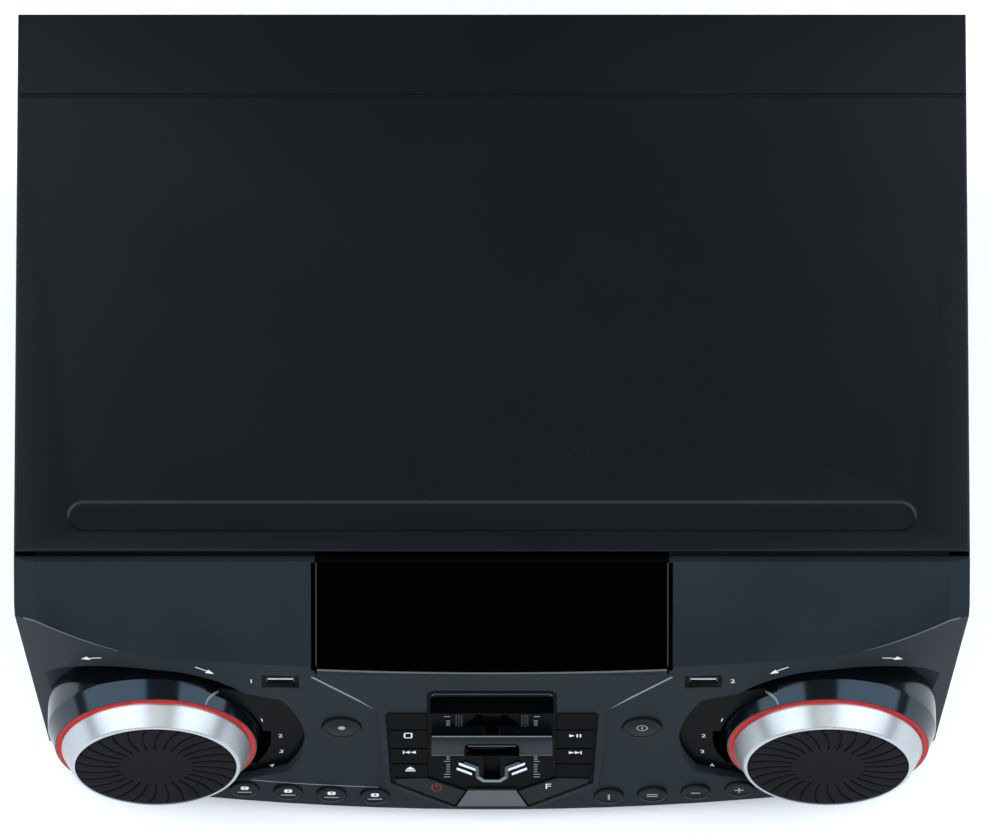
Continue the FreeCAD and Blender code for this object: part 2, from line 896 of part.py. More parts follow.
def top_cover():
    shell = end_profile(body_section(0, foot_height), behind(0), behind(cover_depth))
    shell = shell.cut(end_profile(body_section(sheet, foot_height - overrun), behind(-overrun),
                                  behind(cover_depth + overrun)))
    centre = bead_front + bead_width / 2
    floor = body_height - bead_depth
    dish = stadium(bead_length + 2 * sheet, bead_width + 2 * sheet, centre, floor - sheet, body_height - sheet)
    bead = stadium(bead_length, bead_width, centre, floor, body_height + overrun)
    seam = block(-body_width, body_width, behind(seam_back), behind(seam_back + seam_width),
                 body_height - seam_depth, body_height + overrun)
    return shell.fuse(dish).cut([bead, seam])


def board_bosses(place, size):
    """Four round bosses on the chassis floor, under a board's corners."""
    x0, y0 = place
    inset = 2 * boss_radius
    spots = [(x, y) for x in (x0 + inset, x0 + size[0] - inset) for y in (y0 + inset, y0 + size[1] - inset)]
    return [disc(boss_radius, chassis_top, chassis_top + boss_height, x, behind(y)) for x, y in spots]


chassis_half = foot_half + side_slope * chassis_sheet - sheet - running_gap


def bottom_chassis():
    front = behind(running_gap)
    back = behind(cover_depth - rear_inset)
    floor = block(-chassis_half, chassis_half, front, back, foot_height, chassis_top)
    flange = block(chassis_half - chassis_sheet, chassis_half, front, back - 2 * chassis_sheet,
                   foot_height, foot_height + chassis_flange)
    bosses = board_bosses(main_board_place, main_board_size) + board_bosses(power_board_place, power_board_size)
    return floor.fuse(both(flange) + bosses)


rear_face = behind(cover_depth - rear_inset)


def socket_hole(across, size):
    w = size[0] / 2 + seat_gap
    h = size[1] / 2 + seat_gap
    return block(across - w, across + w, rear_face - 2 * chassis_sheet, rear_face + overrun,
                 socket_row - h, socket_row + h)


def rear_panel():
    outline = body_section(sheet + running_gap, chassis_top)
    panel = end_profile(outline, rear_face - chassis_sheet, rear_face)
    holes = [socket_hole(inlet_across, inlet_size), socket_hole(speaker_across, speaker_block),
             socket_hole(jack_across, jack_block)]
    for i in range(vent_count):
        x = vent_across + (i - (vent_count - 1) / 2) * vent_pitch
        holes.append(block(x - vent_width / 2, x + vent_width / 2, rear_face - overrun, rear_face + overrun,
                           vent_height, vent_height + vent_tall))
    return panel.cut(holes)


def socket_body(across, size):
    """Socket block through the rear panel, with a flange seated on the panel's inner face."""
    w = size[0] / 2
    h = size[1] / 2
    back = behind(cover_depth + rear_proud)
    body = block(across - w, across + w, back - size[2], back, socket_row - h, socket_row + h)
    inner = rear_face - chassis_sheet
    flange = block(across - w - wall, across + w + wall, inner - chassis_sheet, inner,
                   socket_row - h - wall, socket_row + h + wall)
    return body.fuse(flange)


def socket_well(across, size):
    w = size[0] / 2
    h = size[1] / 2
    back = behind(cover_depth + rear_proud)
    return block(across - w, across + w, back - size[2], back + overrun, socket_row - h, socket_row + h)


def rear_pin(radius, x, depth, length):
    start = behind(cover_depth + rear_proud) - depth
    return Part.makeCylinder(radius, length, Vector(x, start, socket_row), Vector(0, 1, 0))


def power_inlet():
    body = socket_body(inlet_across, inlet_size).cut(socket_well(inlet_across, inlet_well))
    pins = [rear_pin(pin_radius, inlet_across + side * pin_half_spacing, inlet_well[2], pin_length)
            for side in (-1, 1)]
    return body.fuse(pins)


def speaker_terminals():
    spots = [speaker_across + side * speaker_pitch / 2 for side in (-1, 1)]
    body = socket_body(speaker_across, speaker_block).cut([socket_well(x, speaker_well) for x in spots])
    pins = [rear_pin(pin_radius, x + side * pin_half_spacing, speaker_well[2], pin_length)
            for x in spots for side in (-1, 1)]
    return body.fuse(pins)


def rear_jacks():
    body = socket_body(jack_across, jack_block)
    spots = [jack_across + side * jack_pitch / 2 for side in (-1, 1)]
    return body.cut([rear_pin(jack_bore, x, jack_depth, jack_depth + overrun) for x in spots])


def rubber_feet():
    spots = [(side * foot_half_spacing, y) for side in (-1, 1) for y in (foot_front, foot_back)]
    return Part.makeCompound([disc(foot_radius, 0, foot_height, x, behind(y)) for x, y in spots])


def circuit_board(place, size):
    x0, y0 = place
    low = chassis_top + boss_height
    return block(x0, x0 + size[0], behind(y0), behind(y0 + size[1]), low, low + board)


def main_board():
    sheet_part = circuit_board(main_board_place, main_board_size)
    top = chassis_top + boss_height + board
    x = main_board_place[0] + main_board_size[0] / 2
    y = behind(main_board_place[1] + main_board_size[1] / 2)
    chip = block(x - chip_size[0] / 2, x + chip_size[0] / 2, y - chip_size[1] / 2, y + chip_size[1] / 2,
                 top, top + chip_size[2])
    cans = [disc(capacitor_radius, top, top + capacitor_height, x + side * chip_size[0], y + chip_size[1])
            for side in (-1, 1)]
    return sheet_part.fuse([chip] + cans)


def power_supply():
    sheet_part = circuit_board(power_board_place, power_board_size)
    top = chassis_top + boss_height + board
    x = power_board_place[0] + power_board_size[0] / 2
    y = behind(power_board_place[1] + power_board_size[1] / 2)
    w, d, h = transformer_size
    return sheet_part.fuse(block(x - w / 2, x + w / 2, y - d / 2, y + d / 2, top, top + h))


def heat_sink():
    x0, y0 = sink_place
    w, d, h = sink_size
    base = block(x0, x0 + w, behind(y0), behind(y0 + sink_base), chassis_top, chassis_top + h)
    pitch = w / sink_fins
    fins = [block(x0 + i * pitch, x0 + (i + fin_share) * pitch, behind(y0), behind(y0 + d), chassis_top,
                  chassis_top + h) for i in range(sink_fins)]
    return base.fuse(fins)


# Disc tray and loader

tray_half = tray_width / 2
gear_pitch_radius = gear_module * gear_teeth / 2
gear_across = tray_half - gear_module + gear_pitch_radius
rack_pitch = math.pi * gear_module
rack_depth_share = 2.25
dedendum_share = 1.25


def rack_gaps():
    """Tooth gaps along the right edge of the tray, one of them centred on the gear."""
    lean = math.tan(math.radians(gear_pressure))
    root = tray_half - rack_depth_share * gear_module
    root_half = rack_pitch / 4 - dedendum_share * gear_module * lean
    mouth = tray_half + gear_module
    mouth_half = root_half + (mouth - root) * lean
    first = math.ceil((-rail_lead - gear_centre) / rack_pitch)
    last = math.floor((tray_back - gear_centre) / rack_pitch)
    gaps = []
    for i in range(first, last):
        y = behind(gear_centre + i * rack_pitch)
        points = [(root, y - root_half), (mouth, y - mouth_half), (mouth, y + mouth_half), (root, y + root_half)]
        gaps.append(plate(polygon(points), tray_bottom - overrun, tray_top + overrun))
    return gaps


def disc_tray():
    plate_part = block(-tray_half, tray_half, ahead(crease_reach), behind(tray_back), tray_bottom, tray_top)
    front = put(block(-half_width, half_width, -foot_reach, foot_reach, -glass, 2 * foot_reach), window_frame)
    well = disc(disc_well / 2, tray_bottom + tray_floor, tray_top + overrun, 0, behind(disc_centre))
    slot_half_width = tray_slot_width / 2
    slot = block(-slot_half_width, slot_half_width, behind(tray_slot_front), behind(tray_slot_back),
                 tray_bottom - overrun, tray_top)
    return plate_part.cut([front, well, slot] + rack_gaps())


def involute(radius):
    """Angle in radians by which a tooth flank has turned in at a radius."""
    base = gear_pitch_radius * math.cos(math.radians(gear_pressure))
    pressure = math.acos(min(1, base / radius))
    return math.tan(pressure) - pressure


def tray_gear():
    tip = gear_pitch_radius + gear_module
    root = gear_pitch_radius - dedendum_share * gear_module
    base = gear_pitch_radius * math.cos(math.radians(gear_pressure))
    half_tooth = math.pi / (2 * gear_teeth) - gear_backlash / (2 * gear_pitch_radius)
    half_tooth += math.tan(math.radians(gear_pressure)) - math.radians(gear_pressure)
    points = []
    for tooth in range(gear_teeth):
        middle = math.pi + 2 * math.pi * tooth / gear_teeth
        flank = [(root, half_tooth)]
        flank += [(radius, half_tooth - involute(radius)) for radius in (base, gear_pitch_radius, tip)]
        for radius, spread in flank:
            points.append((radius * math.cos(middle - spread), radius * math.sin(middle - spread)))
        for radius, spread in reversed(flank):
            points.append((radius * math.cos(middle + spread), radius * math.sin(middle + spread)))
    low = tray_bottom + (tray_thick - gear_thick) / 2
    gear = plate(polygon(points), low, low + gear_thick)
    bore = disc(gear_pin_radius + shaft_fit, low - overrun, low + gear_thick + overrun)
    gear = gear.cut(bore)
    gear.translate(Vector(gear_across, behind(gear_centre), 0))
    return gear


def loader_frame():
    """Floor on four legs, side walls with rails for the tray, the gear's pin and the disc motor."""
    front = ahead(rail_lead)
    back = behind(rail_back)
    floor_top = loader_base + loader_floor
    inner = loader_half - loader_wall
    floor = block(-loader_half, loader_half, front, back, loader_base, floor_top)
    rail_top = tray_top + running_gap + rail_thick
    cheek = block(inner, loader_half, front, back, loader_base, rail_top)
    legs = [block(inner, loader_half, behind(y), behind(y + leg_depth), chassis_top, loader_base)
            for y in (leg_front, rail_back - leg_depth)]
    lap = tray_half - rail_lap
    under = tray_bottom - running_gap

    def rails(side, start):
        x0, x1 = sorted((side * lap, side * inner))
        low = block(x0, x1, behind(start), back, under - rail_thick, under)
        high = block(x0, x1, behind(start), back, rail_top - rail_thick, rail_top)
        e0, e1 = sorted((side * (tray_half + running_gap), side * inner))
        return [low, high, block(e0, e1, behind(start), back, under, rail_top)]

    rib = pickup_half + running_gap
    ribs = block(rib, rib + pickup_rail, behind(pickup_rail_front), behind(pickup_rail_back),
                 floor_top, floor_top + pickup_tall - loader_floor)
    gear_low = tray_bottom + (tray_thick - gear_thick) / 2 - seat_gap
    post = disc(2 * gear_pin_radius, floor_top, gear_low, gear_across, behind(gear_centre))
    pin = disc(gear_pin_radius, floor_top, gear_low + gear_thick, gear_across, behind(gear_centre))
    motor = disc(motor_radius, loader_base - motor_height, loader_base, 0, behind(disc_centre))
    bore = disc(hub_shaft_radius + shaft_fit, loader_base - motor_height + board, 2 * loader_base, 0,
                behind(disc_centre))
    pieces = both(cheek) + [part for leg in legs for part in both(leg)] + both(ribs) + [motor]
    pieces += rails(-1, -rail_lead) + rails(1, gear_centre + gear_rail_gap)
    gear_room = disc(gear_pitch_radius + gear_module + running_gap, gear_low, gear_low + gear_thick + running_gap,
                     gear_across, behind(gear_centre))
    return floor.fuse(pieces).cut([bore, gear_room]).fuse([post, pin])


def spindle_hub():
    top = tray_bottom - 2 * running_gap
    table = disc(hub_radius, top - hub_thick, top, 0, behind(disc_centre))
    low = loader_base - motor_height + board + running_gap
    return table.fuse(disc(hub_shaft_radius, low, top, 0, behind(disc_centre)))


def optical_pickup():
    low = loader_base + loader_floor + running_gap
    front = behind(pickup_front)
    top = low + pickup_tall - loader_floor
    sled = block(-pickup_half, pickup_half, front, front + pickup_length, low, top)
    return sled.fuse(disc(pickup_lens_radius, top, top + pickup_lens_tall, 0, front + pickup_length / 2))


def save(name, shape):
    """Write one piece, or a group of alike pieces, as its closed solids."""
    solids = shape.Solids
    if not solids or not all(solid.isValid() and solid.isClosed() for solid in solids):
        raise ValueError(f"{name} is not a closed solid")
    result = solids[0] if len(solids) == 1 else Part.makeCompound(solids)
    result.exportStep(f"parts/{name}.step")
    box = result.BoundBox
    print(f"{name}: {len(solids)} solid, {result.Volume:.0f} mm3,"
          f" x {box.XMin:.1f} {box.XMax:.1f}, y {box.YMin:.1f} {box.YMax:.1f}, z {box.ZMin:.1f} {box.ZMax:.1f}")


def main():
    os.makedirs("parts", exist_ok=True)
    fixed = [top_cover, front_fascia, bottom_chassis, rear_panel, rubber_feet, display_lens, display_board,
             control_panel, key_board, nose_plate, chrome_chevrons, lever_guide, main_board, power_supply,
             heat_sink, speaker_terminals, power_inlet, rear_jacks, loader_frame]
    moving = [disc_tray, tray_door, tray_gear, spindle_hub, optical_pickup, lever_bar, lever_label, lever_stem]
    for make in fixed + moving:
        save(make.__name__, make())
    save("dial_collars", dial_pair(dial_collar()))
    save("light_rings", dial_pair(light_ring()))
    save("dial_encoders", dial_pair(dial_encoder()))
    for side, name in ((-1, "left"), (1, "right")):
        save(f"crescent_panel_{name}", crescent_panel(side))
        save(f"dial_ring_{name}", put(dial_ring(), dial_frame(side)))
        save(f"dial_pad_{name}", put(dial_pad(), dial_frame(side)))
        save(f"dial_shaft_{name}", put(dial_shaft(), dial_frame(side)))
    save("usb_ports", Part.makeCompound([usb_port(frame) for frame in port_frames]))
    for name, points in key_outlines.items():
        save(name, key_cap(points))
    for frame, name in zip(round_frames, ("left", "right")):
        save(f"round_button_{name}", put(push_button(round_button_radius), frame))
    names = [f"pad_{side}_{i + 1}" for side in ("left", "right") for i in range(4)]
    for frame, name in zip(pad_frames, names):
        save(name, put(push_button(pad_button_radius), frame))


main()
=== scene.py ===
# %% [markdown]
# # A mini hi-fi head unit with two jog dials
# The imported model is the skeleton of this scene: it says where each body is and how it moves. Blender
# adds the looks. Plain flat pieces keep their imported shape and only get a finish. Round and moulded
# pieces are modelled again here, with finer curves and softened edges, and each one replaces the packed
# piece that it stands for.

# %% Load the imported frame
import json
import math

import bmesh
import bpy
from mathutils import Matrix, Vector
from mathutils.bvhtree import BVHTree


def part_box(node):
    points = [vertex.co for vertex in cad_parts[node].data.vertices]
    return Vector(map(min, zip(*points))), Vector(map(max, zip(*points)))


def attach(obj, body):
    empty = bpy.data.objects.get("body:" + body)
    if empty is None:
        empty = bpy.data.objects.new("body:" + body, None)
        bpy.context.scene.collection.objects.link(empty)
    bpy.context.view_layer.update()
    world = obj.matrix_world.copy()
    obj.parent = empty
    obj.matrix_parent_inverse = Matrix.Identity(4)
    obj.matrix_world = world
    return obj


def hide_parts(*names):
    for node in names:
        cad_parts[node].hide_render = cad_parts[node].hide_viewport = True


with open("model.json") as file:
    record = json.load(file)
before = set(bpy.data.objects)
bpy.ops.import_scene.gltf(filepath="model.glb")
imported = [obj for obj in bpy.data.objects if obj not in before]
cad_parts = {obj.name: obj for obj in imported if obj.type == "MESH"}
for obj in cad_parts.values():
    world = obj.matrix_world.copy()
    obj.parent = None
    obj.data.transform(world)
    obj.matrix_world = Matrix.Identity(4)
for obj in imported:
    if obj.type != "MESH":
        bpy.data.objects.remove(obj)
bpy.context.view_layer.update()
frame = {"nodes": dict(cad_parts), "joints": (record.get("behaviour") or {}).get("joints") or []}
nodes = frame["nodes"]
print("packed nodes:", len(nodes))

# %% [markdown]
# ## Frames to work in
# Lengths are millimetres while a piece is modelled, and become metres when it is finished. The unit has
# three leaning surfaces: the front wall, the display slope and the face of each dial. Places on them
# could be worked out with sines and cosines each time. It is easier to give each surface a local frame,
# with x to the right, y up the slope and z out of it, so that a flat outline can be drawn as on paper
# and then put in its place.

# %% Local frames
mm = 0.001
cover_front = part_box("top_cover")[0][1] / mm
half_width = 225.0
body_height = 175.0
foot_height = 12.0
crease_height = 141.3
crease_reach = 46.515
front_lean = 5.954
window_lean = 50.597
dial_aside = 159.0
dial_reach = 54.2
dial_height = 70.0
dial_lean = 3.4


def ahead(reach):
    """Y of a place in front of the cover's front edge."""
    return cover_front - reach


def leaning(x, y, z, lean):
    """Frame on a surface that leans back from upright by an angle in degrees."""
    return Matrix.Translation((x, y, z)) @ Matrix.Rotation(math.radians(90 - lean), 4, "X")


front_place = leaning(0, ahead(crease_reach), crease_height, front_lean)
window_place = leaning(0, ahead(crease_reach), crease_height, window_lean)
dial_places = {side: leaning(side * dial_aside, ahead(dial_reach), dial_height, dial_lean)
               for side in (-1, 1)}
side_names = {-1: "left", 1: "right"}
print("cover front at", round(cover_front, 2))

# %% [markdown]
# ## Camera
# The photograph looks down at about 65 degrees and has almost no perspective: the cover is as wide at
# the back as at the front. An orthographic camera would have none at all. A very long lens far away
# keeps the little that is left. The unit fills the frame, so the 991 pixels across are 470 mm at its
# depth.

# %% Camera
view_width = 0.4703
view_angle = math.radians(65)
target = Vector((1.7, -5.6, 100)) * mm
camera_data = bpy.data.cameras.new("camera")
camera_data.lens = 1000
camera_data.sensor_width = 36
camera_data.clip_end = 100
camera = bpy.data.objects.new("camera", camera_data)
bpy.context.scene.collection.objects.link(camera)
view_distance = view_width * camera_data.lens / camera_data.sensor_width
back_along_view = Vector((0, -math.cos(view_angle), math.sin(view_angle)))
camera.location = target + back_along_view * view_distance
camera.rotation_euler = (math.pi / 2 - view_angle, 0, 0)
bpy.context.scene.camera = camera
bpy.context.scene.view_settings.view_transform = "Standard"
print("camera distance", round(view_distance, 2))

# %% [markdown]
# ## Nodes for the finishes
# Every finish is a small tree of nodes. One function adds a node, sets its values and links its inputs,
# which keeps each tree to a few lines. Colours are written as the hex values that one would pick in a
# paint program. Blender calculates in linear light, so one function turns them to that.

# %% Helpers for finishes
noise_low = 0.3
noise_high = 0.7


def linear(code):
    """Linear colour of an sRGB hex value."""
    parts = [int(code[i:i + 2], 16) / 255 for i in (1, 3, 5)]
    return [c / 12.92 if c <= 0.04045 else ((c + 0.055) / 1.055) ** 2.4 for c in parts] + [1.0]


def add(tree, kind, values=None, links=None, **settings):
    """Add a node, with input values, links from other sockets and settings."""
    node = tree.nodes.new(kind)
    for name, value in settings.items():
        setattr(node, name, value)
    for name, value in (values or {}).items():
        node.inputs[name].default_value = value
    for name, socket in (links or {}).items():
        tree.links.new(socket, node.inputs[name])
    return node


def finish(name, slot, colour, roughness, metallic=0.0, **sockets):
    """A new material with the constant values of its surface, and the record's slot that it belongs to."""
    material = bpy.data.materials.new(name)
    material.use_nodes = True
    material["slot"] = slot
    shader = material.node_tree.nodes["Principled BSDF"]
    shader.inputs["Base Color"].default_value = linear(colour)
    shader.inputs["Roughness"].default_value = roughness
    shader.inputs["Metallic"].default_value = metallic
    for socket, value in sockets.items():
        shader.inputs[socket.replace("_", " ")].default_value = value
    return material, material.node_tree, shader


def soft_edges(tree, shader, radius, relief=None, strength=0.1, depth=0.05):
    """Round the look of sharp edges by a radius in millimetres, under an optional relief."""
    edge = add(tree, "ShaderNodeBevel", {"Radius": radius * mm}, samples=4)
    normal = edge.outputs["Normal"]
    if relief is not None:
        bump = add(tree, "ShaderNodeBump", {"Strength": strength, "Distance": depth * mm},
                   {"Height": relief, "Normal": normal})
        normal = bump.outputs["Normal"]
    tree.links.new(normal, shader.inputs["Normal"])


def grain(tree, size, detail=2.0):
    """Even pattern whose cells are about a size in millimetres."""
    place = add(tree, "ShaderNodeTexCoord")
    noise = add(tree, "ShaderNodeTexNoise", {"Scale": 1 / (size * mm), "Detail": detail},
                {"Vector": place.outputs["Object"]})
    return noise.outputs["Fac"]


def varied(tree, shader, source, low, high, socket):
    """Drive one shader value by a pattern, between two numbers or two hex colours."""
    if isinstance(low, str):
        ramp = add(tree, "ShaderNodeValToRGB", links={"Fac": source})
        start, end = ramp.color_ramp.elements
        start.position = noise_low
        end.position = noise_high
        start.color = linear(low)
        end.color = linear(high)
        tree.links.new(ramp.outputs["Color"], shader.inputs[socket])
    else:
        limits = {"From Min": noise_low, "From Max": noise_high, "To Min": low, "To Max": high}
        spread = add(tree, "ShaderNodeMapRange", limits, {"Value": source})
        tree.links.new(spread.outputs["Result"], shader.inputs[socket])


print("helpers for finishes ready")

# %% [markdown]
# ## Painted steel
# The cover is sheet steel with a dark blue-grey powder coat. One flat colour would look like card, so
# the coat gets its orange peel, as bump and as uneven roughness, and a slow cloud in its colour. Real
# peel is finer than a pixel here, so it is drawn about 1 mm wide.

# %% Painted steel
# Powder coat: a dark skin whose fine peel breaks reflections into a soft haze.
cover_paint, tree, shader = finish("powder_coated_steel", "painted_steel", "#06090c", roughness=0.38,
                                   Specular_IOR_Level=0.13)
peel = grain(tree, size=0.9)
cloud = grain(tree, size=60)
varied(tree, shader, cloud, "#05080b", "#070a0e", "Base Color")
varied(tree, shader, peel, 0.34, 0.42, "Roughness")
soft_edges(tree, shader, radius=0.8, relief=peel, strength=0.06, depth=0.05)

# The same coat in a lighter grey along the edge of the pressed bead: a painted highlight, a thin line that is
# greyer than the sheet.
cover_bead_highlight, tree, shader = finish("powder_coat_painted_highlight", "painted_steel", "#1f242a", roughness=0.34,
                                  Specular_IOR_Level=0.13)
peel = grain(tree, size=0.9)
varied(tree, shader, peel, 0.3, 0.38, "Roughness")
print("painted steel ready")

# %% [markdown]
# ## Moulded fronts
# The fascia is ABS with a spark-eroded satin skin, of nearly the same colour as the cover. The window
# is smoked acrylic, the collars of the dials are polished, and the panel round the lever has a satin
# skin. All four are near black, so the eye tells them apart by gloss alone: each one has its own
# roughness and specular level.

# %% Moulded fronts
# Spark-eroded ABS: an even, dull blue-grey. The skin is drawn 0.7 mm coarse, as finer would not show.
fascia_plastic, tree, shader = finish("satin_moulded_abs", "fascia_plastic", "#1d2429", roughness=0.4,
                                      Specular_IOR_Level=0.03)
spark = grain(tree, size=0.7)
cloud = grain(tree, size=45)
varied(tree, shader, cloud, "#1c2328", "#1f262b", "Base Color")
varied(tree, shader, spark, 0.36, 0.46, "Roughness")
soft_edges(tree, shader, radius=0.7, relief=spark, strength=0.05, depth=0.05)

# Smoked acrylic over a dark screen: the deepest black of the front, smooth, with hardly a reflection.
window_acrylic, tree, shader = finish("black_tinted_acrylic", "window_plastic", "#000000", roughness=0.05,
                                      Specular_IOR_Level=0.03)
smear = grain(tree, size=30)
varied(tree, shader, smear, 0.04, 0.09, "Roughness")
soft_edges(tree, shader, radius=0.4)

# Polished ABS: a black that mirrors softboxes and floor in a cool tone.
piano_black, tree, shader = finish("polished_black_abs", "gloss_black", "#070a0d", roughness=0.12,
                                   Specular_IOR_Level=0.44, Specular_Tint=linear("#c4e6ff"))
smear = grain(tree, size=18)
varied(tree, shader, smear, 0.1, 0.16, "Roughness")
soft_edges(tree, shader, radius=0.3)

# Satin ABS: a quiet black, from which the printed signs stand out.
panel_black, tree, shader = finish("satin_black_abs", "gloss_black", "#050708", roughness=0.25,
                                   Specular_IOR_Level=0.015)
smear = grain(tree, size=12)
varied(tree, shader, smear, 0.22, 0.3, "Roughness")
soft_edges(tree, shader, radius=0.3)
print("moulded fronts ready")

# %% [markdown]
# ## Keys and plastics inside
# Keys and buttons are ABS caps with a fine skin, and what lies behind them is plain black polystyrene.
# A gear of the disc drive is acetal, which is left in its own milky colour. The grain of 0.5 mm is
# coarser than the real skin, so that it shows.

# %% Keys and plastics inside
# Key caps: a black that leaves only their gaps and signs to be seen.
key_black, tree, shader = finish("semi_gloss_key_abs", "key_plastic", "#040506", roughness=0.3,
                                 Specular_IOR_Level=0.014)
spark = grain(tree, size=0.5)
varied(tree, shader, spark, 0.26, 0.36, "Roughness")
soft_edges(tree, shader, radius=0.3, relief=spark, strength=0.04, depth=0.03)

# Button caps: a dark grey, one shade lighter than the keys.
button_black, tree, shader = finish("satin_button_abs", "button_plastic", "#0f1315", roughness=0.36,
                                    Specular_IOR_Level=0.06)
spark = grain(tree, size=0.5)
varied(tree, shader, spark, 0.34, 0.44, "Roughness")
soft_edges(tree, shader, radius=0.3, relief=spark, strength=0.04, depth=0.03)

# Plain polystyrene: a matt black that swallows the light in gaps, and painted shade in the bays of the dials.
inner_black_and_shade, tree, shader = finish("black_polystyrene_and_painted_shade", "black_plastic", "#040405", roughness=0.5,
                                   Specular_IOR_Level=0.03)
spark = grain(tree, size=0.6)
varied(tree, shader, spark, 0.44, 0.58, "Roughness")
soft_edges(tree, shader, radius=0.4, relief=spark, strength=0.06, depth=0.05)

# Natural acetal: a milky white with a waxy shine.
gear_acetal, tree, shader = finish("natural_acetal", "gear_plastic", "#d8d5ca", roughness=0.35)
spark = grain(tree, size=0.6)
varied(tree, shader, spark, 0.3, 0.42, "Roughness")
soft_edges(tree, shader, radius=0.2)
print("keys and plastics inside ready")

# %% [markdown]
# ## Screen prints
# Signs and scales are ink on plastic. A print has no edges to round, so its tree is short: a colour
# with the faint mottling that the screen leaves, drawn 0.4 mm wide so that it shows. The dim and the
# matt black finishes here are no ink: they are painted highlight, reflection and shade in the same form.

# %% Screen prints
mottle_size = 0.4

# White ink: bright and even, for the signs that have to be read.
print_white, tree, shader = finish("white_screen_print", "gloss_black", "#dfe3e6", roughness=0.45)
varied(tree, shader, grain(tree, mottle_size), "#d6dbde", "#e8ebed", "Base Color")

# Grey ink: calmer, for scales and second signs.
print_grey, tree, shader = finish("grey_screen_print", "gloss_black", "#8d9499", roughness=0.45)
varied(tree, shader, grain(tree, mottle_size), "#868d92", "#949ba0", "Base Color")

# Dim brown-grey paint for painted highlights and reflections: lines that show only at a second look.
dim_painted_light, tree, shader = finish("dim_painted_highlight_and_reflection", "gloss_black", "#2c2829", roughness=0.45,
                                 Specular_IOR_Level=0.1)
varied(tree, shader, grain(tree, mottle_size), "#292526", "#302b2c", "Base Color")

# Matt black paint for painted shade: no gloss at all, so it is darker than the plastic round it.
matt_black_painted_shade, tree, shader = finish("painted_shade_matt_black", "gloss_black", "#020203", roughness=0.9,
                                   Specular_IOR_Level=0.0)
varied(tree, shader, grain(tree, mottle_size), 0.85, 0.95, "Roughness")

# Red ink: the one coloured sign of the keys.
print_red, tree, shader = finish("red_screen_print", "key_plastic", "#7c211e", roughness=0.4,
                                 Specular_IOR_Level=0.1)
varied(tree, shader, grain(tree, mottle_size), "#771f1c", "#812320", "Base Color")
print("screen prints ready")

# %% [markdown]
# ## Turned dials
# The cones of the dials are turned aluminium: the tool leaves fine rings round the axis, which stretch
# the highlights across them. A brushed texture on object coordinates would run straight, so the rings
# are drawn on the cone's own UV map, where u runs round the axis and v along the section, 100 mm to
# one. Real rings are a tenth of a millimetre apart. They are drawn six times as wide, so that they
# show. The rim at the top is polished afterwards.

# %% Turned dials
chart_length = 100
ring_spacing = 0.625
marks_per_turn = 3.0

# Turned aluminium: bright fans of light that stay in place when the dial turns.
turned_aluminium, tree, shader = finish("turned_satin_aluminium", "silver_metal", "#a7abad", roughness=0.36,
                                        metallic=1.0, Anisotropic=0.6, Anisotropic_Rotation=0.25)
chart = add(tree, "ShaderNodeUVMap", uv_map="round")
stretch = add(tree, "ShaderNodeMapping", {"Scale": (marks_per_turn, chart_length / ring_spacing, 1.0)},
              {"Vector": chart.outputs["UV"]})
rings = add(tree, "ShaderNodeTexNoise", {"Scale": 1.0, "Detail": 3.0}, {"Vector": stretch.outputs["Vector"]})
varied(tree, shader, rings.outputs["Fac"], 0.34, 0.4, "Roughness")
around = add(tree, "ShaderNodeTangent", direction_type="UV_MAP", uv_map="round")
tree.links.new(around.outputs["Tangent"], shader.inputs["Tangent"])

# Polished rim: a thin ring that is bright from every side.
polished_rim, tree, shader = finish("polished_aluminium", "silver_metal", "#a9adb1", roughness=0.25,
                                    metallic=1.0)
varied(tree, shader, grain(tree, size=5), 0.22, 0.3, "Roughness")
print("turned metals ready")

# %% [markdown]
# ## Silver parts and bright lines
# The lever is lacquered plastic, the plate under it brushed aluminium, and the bars beside its slot are
# plated. Thin lines where edges of the moulding catch the light are painted highlights, in a grey finish
# of their own: a bevel in the mesh would be less than a pixel wide and would flicker.

# %% Silver parts and bright lines
# Silver lacquer: a dark metallic grey with a soft shine.
satin_silver, tree, shader = finish("satin_silver_paint", "silver_metal", "#2a2e30", roughness=0.38,
                                    metallic=0.3, Specular_IOR_Level=0.14)
brush = grain(tree, size=0.5)
varied(tree, shader, brush, 0.3, 0.4, "Roughness")
soft_edges(tree, shader, radius=0.4, relief=brush, strength=0.03, depth=0.03)

# Brushed plate: hair lines from side to side, 0.4 mm apart and 17 mm long, and a broad dull sheen.
hairs_per_metre = 2500.0
breaks_per_metre = 60.0
nose_silver, tree, shader = finish("brushed_aluminium_plate", "silver_metal", "#54585a", roughness=0.42,
                                   metallic=1.0)
place = add(tree, "ShaderNodeTexCoord")
stretch = add(tree, "ShaderNodeMapping", {"Scale": (breaks_per_metre, hairs_per_metre, hairs_per_metre)},
              {"Vector": place.outputs["Object"]})
brush = add(tree, "ShaderNodeTexNoise", {"Scale": 1.0, "Detail": 2.0}, {"Vector": stretch.outputs["Vector"]})
varied(tree, shader, brush.outputs["Fac"], 0.36, 0.5, "Roughness")
soft_edges(tree, shader, radius=0.3, relief=brush.outputs["Fac"], strength=0.04, depth=0.03)

# Bright chrome: hard white bars that mirror the softboxes.
chrome, tree, shader = finish("bright_chrome_plating", "chrome_trim", "#d5d8db", roughness=0.12, metallic=1.0)
varied(tree, shader, grain(tree, size=4), 0.08, 0.16, "Roughness")
soft_edges(tree, shader, radius=0.2)

# Smoked chrome: the same mirror under a grey tint.
smoked_chrome, tree, shader = finish("smoked_chrome_plating", "chrome_trim", "#434a52", roughness=0.22,
                                     metallic=1.0)
varied(tree, shader, grain(tree, size=4), 0.18, 0.28, "Roughness")
soft_edges(tree, shader, radius=0.2)

# Painted highlight in grey: lines that are lighter than the wall, but not bright.
painted_highlight_grey, tree, shader = finish("grey_painted_highlight", "fascia_plastic", "#4a5155", roughness=0.4,
                                Specular_IOR_Level=0.2)
varied(tree, shader, grain(tree, size=4), 0.35, 0.45, "Roughness")
